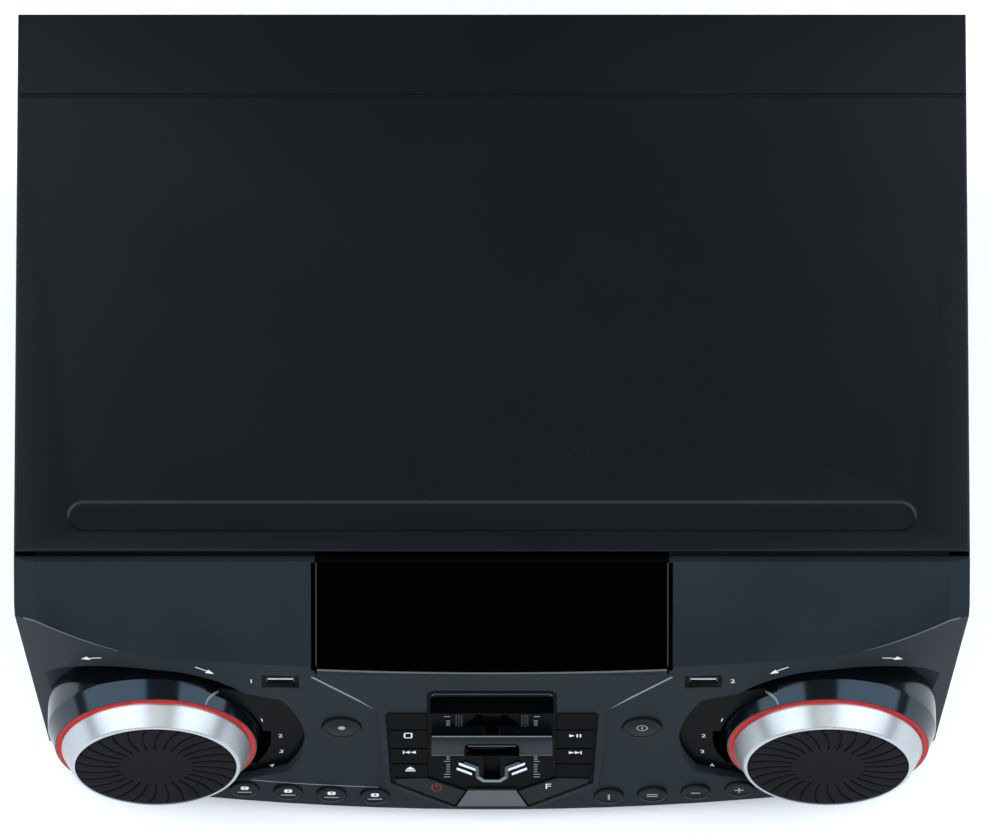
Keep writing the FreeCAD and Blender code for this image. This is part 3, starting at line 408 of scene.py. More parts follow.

# Bright painted highlight: the lightest lines of the moulding, on edges that catch the light.
bright_painted_highlight, tree, shader = finish("light_grey_painted_highlight", "fascia_plastic", "#767e84", roughness=0.3,
                                   Specular_IOR_Level=0.2)
varied(tree, shader, grain(tree, size=4), 0.25, 0.35, "Roughness")
print("silver parts and lines ready")

# %% [markdown]
# ## Rubber and light guides
# The pads of the dials and the feet are moulded rubber. Round each cone lies a ring of red acrylic that
# carries light from a lamp inside. A lamp in the scene would cost much and show little, so the ring has
# a weak emission of its own on top of its colour.

# %% Rubber and light guides
# Dial rubber: a soft black that shows its grooves only by their shade.
dial_rubber, tree, shader = finish("moulded_dial_rubber", "dial_rubber", "#0a0a0d", roughness=0.55,
                                   Specular_IOR_Level=0.035)
pore = grain(tree, size=0.6)
varied(tree, shader, pore, "#08080b", "#0c0c0f", "Base Color")
varied(tree, shader, pore, 0.5, 0.62, "Roughness")

# Foot rubber: harder, dull and a little grainy.
foot_rubber, tree, shader = finish("black_foot_rubber", "foot_rubber", "#0e0e0e", roughness=0.7)
pore = grain(tree, size=0.8)
varied(tree, shader, pore, 0.62, 0.78, "Roughness")
soft_edges(tree, shader, radius=0.8, relief=pore, strength=0.08, depth=0.05)

# Red acrylic: a full red that stays bright in the shade of the cone.
red_guide, tree, shader = finish("red_light_guide_acrylic", "red_light", "#b01814", roughness=0.3,
                                 Emission_Color=linear("#e0241c"), Emission_Strength=0.08,
                                 Specular_IOR_Level=0.1)
varied(tree, shader, grain(tree, size=6), "#a81511", "#b81b16", "Base Color")
print("rubber and light guides ready")

# %% [markdown]
# ## Metal and boards inside
# What holds the unit together is sheet, rod and boards. Little of it shows, at the back, below and
# through the slot of the lever, but each piece has the finish of its trade, because the poses open the
# drive to view.

# %% Metal and boards inside
# Zinc-plated sheet: a bright grey with a faint cloudy spangle.
zinc_sheet, tree, shader = finish("zinc_plated_sheet", "zinc_steel", "#a9adb0", roughness=0.38, metallic=1.0)
varied(tree, shader, grain(tree, size=6), 0.32, 0.46, "Roughness")
soft_edges(tree, shader, radius=0.4)

# Painted sheet of the back: a dull black with some orange peel.
rear_paint, tree, shader = finish("black_painted_sheet", "black_steel", "#0d0e10", roughness=0.5)
peel = grain(tree, size=0.8)
varied(tree, shader, peel, 0.44, 0.56, "Roughness")
soft_edges(tree, shader, radius=0.4, relief=peel, strength=0.06, depth=0.05)

# Turned rod: a clean, bright steel.
turned_steel, tree, shader = finish("turned_steel_rod", "steel_shaft", "#b5b7ba", roughness=0.3, metallic=1.0)
varied(tree, shader, grain(tree, size=2), 0.24, 0.36, "Roughness")
soft_edges(tree, shader, radius=0.2)

# Stamped steel of the ports: bright, and slightly uneven from the press.
port_steel, tree, shader = finish("stamped_port_steel", "port_metal", "#9fa3a6", roughness=0.3, metallic=1.0)
varied(tree, shader, grain(tree, size=3), 0.24, 0.36, "Roughness")
soft_edges(tree, shader, radius=0.15)

# Green solder mask: a dark green in which the tracks show as lighter patches.
board_green, tree, shader = finish("green_solder_mask", "board_laminate", "#12301f", roughness=0.35)
varied(tree, shader, grain(tree, size=3, detail=4.0), "#0f2a1b", "#163a26", "Base Color")
soft_edges(tree, shader, radius=0.2)

# Black solder mask of the key board: it stays unseen behind the lever's slot.
board_black, tree, shader = finish("black_solder_mask", "board_laminate", "#060707", roughness=0.4,
                                   Specular_IOR_Level=0.05)
varied(tree, shader, grain(tree, size=3, detail=4.0), "#050606", "#080909", "Base Color")
soft_edges(tree, shader, radius=0.2)

# Extruded aluminium: a light grey with a dull shine.
sink_aluminium, tree, shader = finish("extruded_aluminium", "sink_metal", "#a6a9ac", roughness=0.4,
                                      metallic=1.0)
varied(tree, shader, grain(tree, size=1.5), 0.34, 0.48, "Roughness")
soft_edges(tree, shader, radius=0.3)
print("finishes:", len(bpy.data.materials))

# %% [markdown]
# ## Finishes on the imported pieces
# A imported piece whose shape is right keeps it. Modelling it again would only add faces, so its one
# material slot takes the finish of the real part.

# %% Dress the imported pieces
packed_finishes = {
    inner_black_and_shade: ["loader_frame", "disc_tray", "spindle_hub", "dial_encoders", "lever_stem", "lever_guide",
                  "rear_jacks", "power_inlet", "speaker_terminals"],
    gear_acetal: ["tray_gear"],
    window_acrylic: ["display_lens", "tray_door"],
    panel_black: ["control_panel"],
    nose_silver: ["nose_plate"],
    turned_steel: ["dial_shaft_left", "dial_shaft_right"],
    zinc_sheet: ["bottom_chassis", "optical_pickup"],
    rear_paint: ["rear_panel"],
    board_green: ["display_board", "main_board", "power_supply"],
    board_black: ["key_board"],
    sink_aluminium: ["heat_sink"],
    smoked_chrome: ["usb_ports"],
    foot_rubber: ["rubber_feet"],
}
for material, names in packed_finishes.items():
    for name in names:
        nodes[name].data.materials.clear()
        nodes[name].data.materials.append(material)
print("packed pieces dressed:", sum(len(names) for names in packed_finishes.values()))

# %% [markdown]
# ## Tools for shapes
# A few small tools make nearly every new piece. A slab is a flat outline pulled straight up. A turned
# piece is a half section spun round its axis, as on a lathe. A lofted piece starts from one face, which
# is pulled out and moved to the next ring again and again. A sheet is a plain grid whose points are
# moved to rows of places.


# %% Flat, turned and lofted shapes
def raised(bm, faces, height):
    """Pull faces straight up into a closed solid."""
    made = bmesh.ops.extrude_face_region(bm, geom=faces)
    lifted = [v for v in made["geom"] if isinstance(v, bmesh.types.BMVert)]
    bmesh.ops.translate(bm, verts=lifted, vec=(0, 0, height))
    bmesh.ops.recalc_face_normals(bm, faces=bm.faces)


def slab(points, low, high, place=Matrix()):
    """A flat outline between two heights, put in its place."""
    bm = bmesh.new()
    face = bm.faces.new([bm.verts.new((x, y, low)) for x, y in points])
    raised(bm, [face], high - low)
    bmesh.ops.transform(bm, matrix=place, verts=bm.verts)
    return bm


def oblong(x0, x1, y0, y1):
    """Outline of an upright rectangle."""
    return [(x0, y0), (x1, y0), (x1, y1), (x0, y1)]


def block(x0, x1, y0, y1, z0, z1, place=Matrix()):
    """A plain block between its limits."""
    return slab(oblong(x0, x1, y0, y1), z0, z1, place)


def turned(profile, place=Matrix(), rounds=None, steps=192):
    """A closed half section of (radius, height) points spun round its axis, some corners rounded first."""
    bm = bmesh.new()
    verts = [bm.verts.new((radius, 0, height)) for radius, height in profile]
    for start, end in zip(verts, verts[1:] + verts[:1]):
        bm.edges.new((start, end))
    for index, size in (rounds or {}).items():
        bmesh.ops.bevel(bm, geom=[verts[index]], offset=size, segments=5, profile=0.5, affect="VERTICES",
                        material=-1)
    bmesh.ops.spin(bm, geom=bm.verts[:] + bm.edges[:], cent=(0, 0, 0), axis=(0, 0, 1), angle=2 * math.pi,
                   steps=steps, use_merge=True)
    bmesh.ops.remove_doubles(bm, verts=bm.verts, dist=0.0005)
    bmesh.ops.recalc_face_normals(bm, faces=bm.faces)
    bmesh.ops.transform(bm, matrix=place, verts=bm.verts)
    return bm


def lofted(rings):
    """A solid through rings of points of equal count, closed at both ends."""
    bm = bmesh.new()
    end = bm.faces.new([bm.verts.new(spot) for spot in rings[0]])
    for number, spots in enumerate(rings[1:]):
        made = bmesh.ops.extrude_face_region(bm, geom=[end])["geom"]
        if number > 0:
            bm.faces.remove(end)
        end = next(part for part in made if isinstance(part, bmesh.types.BMFace))
        for vert, spot in zip(end.verts, spots):
            vert.co = spot
    bmesh.ops.recalc_face_normals(bm, faces=bm.faces)
    return bm


def sheet_through(rows):
    """An open sheet through rows of points of equal count."""
    bm = bmesh.new()
    bmesh.ops.create_grid(bm, x_segments=len(rows[0]) - 1, y_segments=len(rows) - 1, size=1)
    for vert, spot in zip(bm.verts, [spot for row in rows for spot in row]):
        vert.co = spot
    bm.normal_update()
    return bm


print("flat, turned and lofted shapes ready")

# %% [markdown]
# ## Tools to finish a piece
# Holes and joins are made with Boolean modifiers on loose objects, which are removed again: this is
# safer on closed solids than moving single points. The last tool writes a shape to an object, gives it
# its finish and lets it ride on its body. Edges flatter than an angle are shaded smooth, and all others
# stay sharp.


# %% Cuts, joins and finished pieces
def loose_object(bm):
    """An object for a Boolean modifier. Its shape is freed."""
    mesh = bpy.data.meshes.new("tool")
    bm.to_mesh(mesh)
    bm.free()
    tool = bpy.data.objects.new("tool", mesh)
    bpy.context.scene.collection.objects.link(tool)
    return tool


def cut(bm, others, operation="DIFFERENCE"):
    """Remove other shapes from one, or join them to it, and free them all."""
    base = loose_object(bm)
    tools = [loose_object(other) for other in others]
    for tool in tools:
        step = base.modifiers.new("cut", "BOOLEAN")
        step.operation = operation
        step.solver = "EXACT"
        step.object = tool
    graph = bpy.context.evaluated_depsgraph_get()
    mesh = bpy.data.meshes.new_from_object(base.evaluated_get(graph))
    result = bmesh.new()
    result.from_mesh(mesh)
    bpy.data.meshes.remove(mesh)
    for tool in tools + [base]:
        bpy.data.meshes.remove(tool.data)
    return result


def merged(shapes):
    """One shape that holds several loose ones, which are freed."""
    whole = bmesh.new()
    for shape in shapes:
        part = bpy.data.meshes.new("part")
        shape.to_mesh(part)
        shape.free()
        whole.from_mesh(part)
        bpy.data.meshes.remove(part)
    return whole


def softened(bm, size, segments=3, angle=30):
    """Round every edge that is sharper than an angle."""
    sharp = [e for e in bm.edges if e.is_manifold and e.calc_face_angle(0) > math.radians(angle)]
    bmesh.ops.bevel(bm, geom=sharp, offset=size, segments=segments, profile=0.5, affect="EDGES", material=-1,
                    clamp_overlap=True)
    return bm


def faced(bm, way):
    """Turn every face of an open shape to look along a direction."""
    for face in bm.faces:
        face.normal_update()
        if face.normal.dot(Vector(way)) < 0:
            face.normal_flip()


def settle(name, bm, material, body, replaced=(), angle=30):
    """Write a shape in metres to an object with a finish, and let it ride on its body."""
    bmesh.ops.scale(bm, vec=(mm, mm, mm), verts=bm.verts)
    mesh = bpy.data.meshes.new(name)
    bm.to_mesh(mesh)
    bm.free()
    mesh.shade_smooth()
    mesh.set_sharp_from_angle(angle=math.radians(angle))
    finishes = material if isinstance(material, list) else [material]
    for one in finishes:
        mesh.materials.append(one)
    piece = bpy.data.objects.new(name, mesh)
    bpy.context.scene.collection.objects.link(piece)
    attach(piece, body)
    if replaced:
        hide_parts(*replaced)
    return piece


print("tools to finish a piece ready")

# %% [markdown]
# ## Cover
# The cover is one bent sheet with small bends at its upper edges. It could be folded from a plane with
# a Solidify modifier. Here the outer block is drawn as an outline, pulled along the depth and hollowed
# by a smaller one, which gives the exact thickness at the slanted sides too.

# %% Bent sheet of the cover
cover_depth = 281
sheet_thickness = 1.2
bend_radius = 1.4
shoulder_height = 158
foot_half_width = 210.5
flare = half_width - foot_half_width
overrun = 5
cover_back = cover_front + cover_depth


def side_at(z):
    """Half width of the cover at a height: it narrows towards the foot."""
    return min(half_width, foot_half_width + (z - foot_height) * flare / (shoulder_height - foot_height))


def tunnel(half_line, front, back):
    """A mirrored half section pulled along the depth."""
    line = half_line + [(-x, z) for x, z in reversed(half_line)]
    return lofted([[(x, y, z) for x, z in line] for y in (front, back)])


def at_top(vert):
    """True for the upper corners of the sheet."""
    return abs(vert.co.x) > half_width - 0.1 and vert.co.z > body_height - 0.1


outer_line = [(side_at(foot_height), foot_height), (side_at(shoulder_height), shoulder_height),
              (half_width, body_height)]
inner_line = [(side_at(0) - sheet_thickness, 0),
              (side_at(shoulder_height) - sheet_thickness, shoulder_height),
              (half_width - sheet_thickness, body_height - sheet_thickness)]
sheet = tunnel(outer_line, cover_front, cover_back)
bends = [e for e in sheet.edges if all(at_top(vert) for vert in e.verts)]
bmesh.ops.bevel(sheet, geom=bends, offset=bend_radius, segments=5, profile=0.5, affect="EDGES", material=-1)
sheet = cut(sheet, [tunnel(inner_line, cover_front - overrun, cover_back + overrun)])
print("cover sheet faces:", len(sheet.faces))

# %% [markdown]
# ## Pressed bead and seam
# A long bead near the front edge stiffens the cover. It is pressed in, so its walls slope and its edges
# are rounded: the cutting shape is lofted through the rings of the press tool, and a dish below keeps
# the sheet closed. The rear wall and the ends of the bead take a lighter grey, a painted highlight that
# shows as a thin line. A narrow seam crosses the cover near the back.

# %% Pressed bead and seam
bead_length = 400
bead_width = 15.7
bead_gap = 10.5
bead_middle = cover_front + bead_gap + bead_width / 2
seam_line = cover_front + 237
seam_width = 2
bead_highlight_index = 1


def stadium(length, across, centre, z, grow):
    """Ring of points of a long slot with round ends, grown by a margin."""
    radius = across / 2 + grow
    end = length / 2 - across / 2
    turns = [math.radians(-90 + 180 * i / 20) for i in range(21)]
    right = [(end + radius * math.cos(a), centre + radius * math.sin(a), z) for a in turns]
    left = [(-end - radius * math.cos(a), centre - radius * math.sin(a), z) for a in turns]
    return right + left


dish_rings = [(172.4, 1.3), (174.0, 1.3)]
press_rings = [(173.6, -1.45), (173.63, -1.15), (173.74, -0.9), (174.84, 0.0), (174.96, 0.27), (175.01, 0.65),
               (176.0, 0.75)]
dish = lofted([stadium(bead_length, bead_width, bead_middle, z, grow) for z, grow in dish_rings])
bead = lofted([stadium(bead_length, bead_width, bead_middle, z, grow) for z, grow in press_rings])
seam = block(-230, 230, seam_line, seam_line + seam_width, 174.3, 176)
cover_shape = cut(cut(sheet, [dish], "UNION"), [bead, seam])
# The walls of the bead that face forwards or sideways take the painted highlight.
for face in cover_shape.faces:
    middle = face.calc_center_median()
    in_bead = abs(middle.y - bead_middle) < 10 and middle.z > 173.5
    if in_bead and face.normal.z < 0.9 and face.normal.y < 0.1:
        face.material_index = bead_highlight_index
settle("steel_cover", cover_shape, [cover_paint, cover_bead_highlight], "unit", ["top_cover"], angle=40)
print("bead middle at", round(bead_middle, 2))

# %% [markdown]
# ## Cover screws
# Three screws on each side hold the cover. A head is turned from its half section, and two thin blocks
# cut the cross slot. All six become one piece, since they never move against each other.

# %% Cover screws
screw_height = 26
screw_depths = (22, 140, 262)
screw_section = [(0, -0.6), (3.1, -0.6), (3.1, 0.7), (2.2, 1.6), (0, 1.9)]
slot_length = 1.7
slot_half = 0.35
side_turn = math.radians(95.7)
heads = []
for side in (-1, 1):
    for depth in screw_depths:
        spot = Matrix.Translation((side * side_at(screw_height), cover_front + depth, screw_height))
        face_out = spot @ Matrix.Rotation(side * side_turn, 4, "Y")
        head = turned(screw_section, face_out, {2: 0.3, 3: 0.5}, steps=32)
        slots = [block(-slot_length, slot_length, -slot_half, slot_half, 1.0, 3, face_out),
                 block(-slot_half, slot_half, -slot_length, slot_length, 1.0, 3, face_out)]
        heads.append(cut(head, slots))
settle("cover_screws", merged(heads), rear_paint, "unit")
print("cover screws:", len(heads))

# %% [markdown]
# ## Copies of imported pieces
# Fascia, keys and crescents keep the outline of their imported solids, which are loose triangles. In a
# copy the corners are joined and the flat faces made whole again. The keys' normals are then weighted
# by the size of their faces, so that flat faces shade flat right up to a rounded edge.


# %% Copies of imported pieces
def packed_copy(name):
    """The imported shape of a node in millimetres, with its corners joined and its flat faces made whole."""
    bm = bmesh.new()
    bm.from_mesh(nodes[name].data)
    bmesh.ops.scale(bm, vec=(1 / mm, 1 / mm, 1 / mm), verts=bm.verts)
    bmesh.ops.remove_doubles(bm, verts=bm.verts, dist=0.002)
    bmesh.ops.dissolve_limit(bm, angle_limit=math.radians(0.05), verts=bm.verts, edges=bm.edges)
    bmesh.ops.recalc_face_normals(bm, faces=bm.faces)
    return bm


def even_shading(piece):
    """Weight normals by face size, and keep the sharp edges."""
    step = piece.modifiers.new("even_shading", "WEIGHTED_NORMAL")
    step.mode = "FACE_AREA"
    step.weight = 100
    step.keep_sharp = True


print("copies ready")

# %% [markdown]
# ## Smooth sheet of the front
# The front wall is bowed: in plan it is a shallow arc between two tighter corner arcs, at the foot as
# at the top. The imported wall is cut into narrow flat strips, which would show as stripes of shade. So a
# smooth sheet is drawn through the two plan lines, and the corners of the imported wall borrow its
# normals.


# %% Smooth sheet of the front
def arc_points(marks, steps):
    """Points on the circle through three plan points."""
    (ax, ay), (bx, by), (cx, cy) = marks
    d = 2 * (ax * (by - cy) + bx * (cy - ay) + cx * (ay - by))
    a2, b2, c2 = ax * ax + ay * ay, bx * bx + by * by, cx * cx + cy * cy
    middle = Vector(((a2 * (by - cy) + b2 * (cy - ay) + c2 * (ay - by)) / d,
                     (a2 * (cx - bx) + b2 * (ax - cx) + c2 * (bx - ax)) / d))
    arms = [Vector(mark) - middle for mark in (marks[0], marks[2])]
    swept = arms[0].angle_signed(arms[1])
    return [middle + Matrix.Rotation(-swept * k / steps, 2) @ arms[0] for k in range(steps + 1)]


def plan_line(half_marks, steps=40):
    """Plan of the front at one height: two corner arcs and a shallow bow."""
    marks = [(-x, reach) for x, reach in reversed(half_marks[1:])] + half_marks
    line = []
    for i in (0, 2, 4):
        line += arc_points(marks[i:i + 3], steps)[1 if i else 0:]
    return line


def front_sheet(steps=16):
    """Smooth sheet of the whole front wall, from the foot to cover height."""
    foot = plan_line([(0, 60), (140, 53), (180, 40.5), (210.5, 24)])
    top = plan_line([(0, 43), (164.5, 39), (194, 34), (226.69, 24)])
    rows = []
    for k in range(steps + 1):
        share = k / steps
        z = foot_height + share * (body_height - foot_height)
        spots = [low.lerp(high, share) for low, high in zip(foot, top)]
        rows.append([(spot.x, ahead(spot.y), z) for spot in spots])
    return sheet_through(rows)


def smooth_wall(piece, most_gap=0.12, least_match=0.97):
    """Give the corners on the bowed wall the normals of the smooth sheet. All others keep their own."""
    sheet = front_sheet()
    sheet.faces.ensure_lookup_table()
    tree = BVHTree.FromBMesh(sheet)
    mesh = piece.data
    normals = [Vector(corner.vector) for corner in mesh.corner_normals]
    for face in mesh.polygons:
        if face.normal.y > -0.35 and abs(face.normal.x) < 0.8:
            continue
        for corner in face.loop_indices:
            spot = mesh.vertices[mesh.loops[corner].vertex_index].co / mm
            near, flat, index, gap = tree.find_nearest(spot)
            if gap > most_gap or flat.dot(face.normal) < least_match:
                break
            blend = Vector()
            for vert in sheet.faces[index].verts:
                blend += vert.normal / ((vert.co - near).length_squared + 0.01)
            normals[corner] = blend.normalized()
    mesh.normals_split_custom_set(normals)
    sheet.free()


print("smooth sheet ready")

# %% [markdown]
# ## Fascia
# The fascia is one moulding, but not of one colour. The strip over the window is black like the window,
# whose glass runs up to the ridge, and the bevel behind the ridge takes the same black as painted shade.
# The bays of the dials and the seat of the tray lie in shade, and their faces are painted black as that
# shade. Separate pieces would need seams that the real one hasn't, so the faces are sorted by their place
# and take a second or third finish.

# %% Fascia
window_half = 83.4
strip_low = 167.5
strip_up_slope = 49.5
bay_radius = 57.3
seat_half = 83.3
window_black_and_shade = 1
painted_shade_faces = 2
shell = packed_copy("front_fascia")
for x in (-window_half, window_half):
    bmesh.ops.bisect_plane(shell, geom=shell.verts[:] + shell.edges[:] + shell.faces[:], plane_co=(x, 0, 0),
                           plane_no=(1, 0, 0))
window_back = window_place.inverted()
# The strip over the window takes the window's black; on the bevel behind the ridge it is painted shade.
for face in shell.faces:
    middle = face.calc_center_median()
    on_strip = middle.z > strip_low and (window_back @ middle).y > strip_up_slope
    if on_strip and abs(middle.x) < window_half and face.normal.z > 0.3:
        face.material_index = window_black_and_shade
# Faces inside the bays of the dials are painted black as shade.
for side in (-1, 1):
    back = dial_places[side].inverted()
    for face in shell.faces:
        reach = max((back @ vert.co).to_2d().length for vert in face.verts)
        inward = back.to_3x3() @ face.normal
        middle = back @ face.calc_center_median()
        if reach < bay_radius and inward.xy.dot(middle.xy) <= 0.01:
            face.material_index = painted_shade_faces
# Faces of the tray's seat are painted black as shade too.
for face in shell.faces:
    spot = window_back @ face.calc_center_median()
    if abs(spot.x) < seat_half and -1.0 < spot.y < 54.0 and spot.z < -0.4:
        face.material_index = painted_shade_faces
fascia_finishes = [fascia_plastic, window_acrylic, inner_black_and_shade]
fascia = settle("moulded_fascia", shell, fascia_finishes, "unit", ["front_fascia"], angle=20)
smooth_wall(fascia)
print("fascia faces:", len(fascia.data.polygons))

# %% [markdown]
# ## Jog dials
# Each dial is a stack of turned pieces: a black collar, a red light guide let into it, a silver cone
# with a polished rim, and a rubber pad. Plain cylinders would miss the tapers that catch the light, so
# each section is drawn as a lathe operator would see it. The UV map of a cone runs once round the axis,
# so that the turning marks follow it. A narrow painted highlight runs down the taper of each collar.


# %% Collars, light guides and cones
def round_chart(bm, place):
    """UV map with u round the axis of a place and v along the section."""
    chart = bm.loops.layers.uv.new("round")
    back = place.inverted()
    for face in bm.faces:
        middle = back @ face.calc_center_median()
        middle_turn = math.atan2(middle.y, middle.x)
        for loop in face.loops:
            spot = back @ loop.vert.co
            turn = math.atan2(spot.y, spot.x)
            turn += 2 * math.pi * round((middle_turn - turn) / (2 * math.pi))
            loop[chart].uv = (turn / (2 * math.pi), (math.hypot(spot.x, spot.y) + spot.z) / chart_length)


tip_steps = 9
tip_top = -1.2
tip_length = 8.4
tip_radius = 47.95
tip_taper = 0.3736


def collar_tip(side):
    """A painted highlight: a strip down the taper of a collar, which swings aside and widens on its way."""
    rows = []
    for k in range(tip_steps + 1):
        share = k / tip_steps
        level = tip_top - tip_length * share
        radius = tip_radius + tip_taper * (tip_top - level)
        turns = [90 + side * (30 + 8 * share ** 2 + edge * (0.4 + 0.9 * share)) for edge in (-1, 1)]
        rows.append([(radius * math.cos(a), radius * math.sin(a), level) for a in map(math.radians, turns)])
    bm = sheet_through(rows)
    bmesh.ops.transform(bm, matrix=dial_places[side], verts=bm.verts)
    faced(bm, (0, 0, 1))
    return bm


collar_section = [(46, -25), (51.2, -25), (51.2, -10.7), (51.1, -10.0), (47.7, -0.9), (47.2, -0.9),
                  (47.2, -3.4), (46, -3.4)]
guide_section = [(45.0, -3.4), (47.15, -3.4), (47.15, -0.6), (45.0, -0.6)]
cone_section = [(3.05, 3), (39.2, 3), (42.2, -2), (44.8, -2), (44.8, 0.5), (40.0, 9.7), (39.3, 10.2),
                (38.3, 10.2), (38.3, 6), (3.05, 6)]
polished = 1
for side, name in side_names.items():
    place = dial_places[side]
    collar = turned(collar_section, place, {2: 0.4, 3: 0.4})
    settle("dial_collar_" + name, collar, piano_black, "unit", ["dial_collars"])
    guide = turned(guide_section, place, {2: 0.3})
    settle("light_guide_" + name, guide, red_guide, "unit", ["light_rings"])
    cone = turned(cone_section, place, {4: 0.4, 5: 0.3, 6: 0.4})
    round_chart(cone, place)
    back = place.inverted()
    for face in cone.faces:
        middle = back @ face.calc_center_median()
        if 38.2 < math.hypot(middle.x, middle.y) < 39.6 and middle.z > 9.5:
            face.material_index = polished
    settle("dial_cone_" + name, cone, [turned_aluminium, polished_rim], "dial_" + name, ["dial_ring_" + name])
    settle("collar_tip_" + name, collar_tip(side), bright_painted_highlight, "unit")
print("dials turned")

# %% [markdown]
# ## Grooved rubber pads
# A pad has 28 curved grooves. They could be cut one by one, but a Boolean with 28 swung tools is slow
# and leaves ragged edges. One sector with one groove is drawn as a short cross-line instead, pulled
# outwards along the radius while it swings round a little, and copied 28 times. The dished middle and
# the outer wall are then pulled from the open edges.

# %% Grooved pads
groove_count = 28
groove_half = 0.62
groove_depth = 0.75
wall_foot = 6.0
ring_between = 20
sector = 2 * math.pi / groove_count
swing = {17.0: 0.0, 26.8: 0.5, 37.6: 6.2}
stations = [(17.0, 10.0, 0.0), (17.7, 10.0, 0.75), (18.6, 10.0, 1.0), (21, 10.0, 1.0), (24, 10.0, 1.0),
            (27, 10.0, 1.0), (30, 10.0, 1.0), (33, 10.0, 1.0), (35, 10.0, 1.0), (36.4, 9.98, 1.0),
            (37.4, 9.88, 0.9), (38.0, 9.7, 0.6), (38.2, 9.4, 0.3)]
groove_line = [(-1.35, 0.0), (-1.0, 0.03), (-0.82, 0.14), (-0.62, 0.62), (-0.4, 0.94), (0.0, 1.0),
               (0.4, 0.94), (0.62, 0.62), (0.82, 0.14), (1.0, 0.03), (1.35, 0.0)]
dish_line = [(15.6, 9.98), (13.0, 9.9), (9.0, 9.75), (4.0, 9.65), (0.6, 9.62)]


def groove_swing(radius):
    """Turn of a groove at a radius, on the curve through its three given points."""
    turn = 0.0
    for here, angle in swing.items():
        weight = 1.0
        for other in swing:
            if other != here:
                weight *= (radius - other) / (here - other)
        turn += weight * angle
    return -math.radians(turn)


def pad_line(side, radius, height, share):
    """Corners of the cross-line of one sector at a radius."""
    half = groove_half / radius
    line = [(spread * half, deep) for spread, deep in groove_line]
    line = [(-sector / 2, 0.0)] + line + [(sector / 2, 0.0)]
    base = math.pi / 2 - side * groove_swing(radius)
    return [Vector((radius * math.cos(base + turn), radius * math.sin(base + turn),
                    height - groove_depth * share * deep)) for turn, deep in line]


def rubber_pad(side):
    """A pad whose grooves swing to the outer side of the unit."""
    bm = bmesh.new()
    row = [bm.verts.new(spot) for spot in pad_line(side, *stations[0])]
    edges = [bm.edges.new(pair) for pair in zip(row, row[1:])]
    for station in stations[1:]:
        made = bmesh.ops.extrude_edge_only(bm, edges=edges)["geom"]
        fresh = [v for v in made if isinstance(v, bmesh.types.BMVert)]
        edges = [e for e in made if isinstance(e, bmesh.types.BMEdge) and all(v in fresh for v in e.verts)]
        fresh.sort(key=lambda v: -math.atan2(v.co.y, v.co.x))
        for vert, spot in zip(fresh, reversed(pad_line(side, *station))):
            vert.co = spot
    bmesh.ops.spin(bm, geom=bm.verts[:] + bm.edges[:] + bm.faces[:], cent=(0, 0, 0), axis=(0, 0, 1),
                   angle=2 * math.pi - sector, steps=groove_count - 1, use_duplicate=True)
    bmesh.ops.remove_doubles(bm, verts=bm.verts, dist=0.01)
    rims = [e for e in bm.edges if e.is_boundary]
    inner = [e for e in rims if e.verts[0].co.to_2d().length < ring_between]
    outer = [e for e in rims if e.verts[0].co.to_2d().length > ring_between]
    for radius, height in dish_line:
        made = bmesh.ops.extrude_edge_only(bm, edges=inner)["geom"]
        inner = [e for e in made if isinstance(e, bmesh.types.BMEdge) and e.is_boundary]
        for vert in {v for e in inner for v in e.verts}:
            flat = vert.co.to_2d().normalized() * radius
            vert.co = (flat.x, flat.y, height)
    bmesh.ops.contextual_create(bm, geom=inner)
    made = bmesh.ops.extrude_edge_only(bm, edges=outer)["geom"]
    outer = [e for e in made if isinstance(e, bmesh.types.BMEdge) and e.is_boundary]
    for vert in {v for e in outer for v in e.verts}:
        vert.co.z = wall_foot
    bmesh.ops.contextual_create(bm, geom=outer)
    bmesh.ops.recalc_face_normals(bm, faces=bm.faces)
    bmesh.ops.transform(bm, matrix=dial_places[side], verts=bm.verts)
    return bm


for side, name in side_names.items():
    pad = settle("rubber_pad_" + name, rubber_pad(side), dial_rubber, "dial_" + name, ["dial_pad_" + name],
                 angle=45)
print("pad faces:", len(pad.data.polygons))

# %% [markdown]
# ## Round buttons and pads
# The buttons share one turned section with a shallow dish and a groove ring near the edge. The wall
# behind them is bowed, so no two look the same way: each is put on the axis of its own press joint,
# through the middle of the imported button, and so it slides true in its hole.

# %% Round buttons and pads
outward = {joint["child"]: -Vector(joint["axis"]) for joint in frame["joints"]}
button_radius = 9.2
pad_radius = 6.7


def button_place(node):
    """Frame on the top of a packed button, with z out of it."""
    out = outward[node + "_body"]
    right = Vector((1, 0, 0))
    up = out.cross(right)
    spots = [v.co / mm for v in nodes[node].data.vertices]
    top = max(spot.dot(out) for spot in spots)
    rim = [spot for spot in spots if spot.dot(out) > top - 0.01]
    x = (min(spot.x for spot in rim) + max(spot.x for spot in rim)) / 2
    y = (min(spot.dot(up) for spot in rim) + max(spot.dot(up) for spot in rim)) / 2
    turn = Matrix((right, up, out)).transposed().to_4x4()
    return Matrix.Translation(right * x + up * y + out * top) @ turn


def button(node, radius):
    """A button with a flange behind the wall, a rounded edge, a groove ring and a dished top."""
    flange = radius + 0.7
    section = [(0, -5.9), (flange, -5.9), (flange, -4.9), (radius, -4.9), (radius, 0), (radius - 1.6, 0),
               (radius - 1.9, -0.25), (radius - 2.2, -0.1), (0, -0.45)]
    return turned(section, button_place(node), {4: 0.6}, steps=96)


for side, name in side_names.items():
    node = "round_button_" + name
    settle("action_" + node, button(node, button_radius), button_black, node + "_body", [node])
    for number in range(1, 5):
        node = "pad_" + name + "_" + str(number)
        settle("drum_" + node, button(node, pad_radius), button_black, node + "_body", [node])
print("buttons turned")

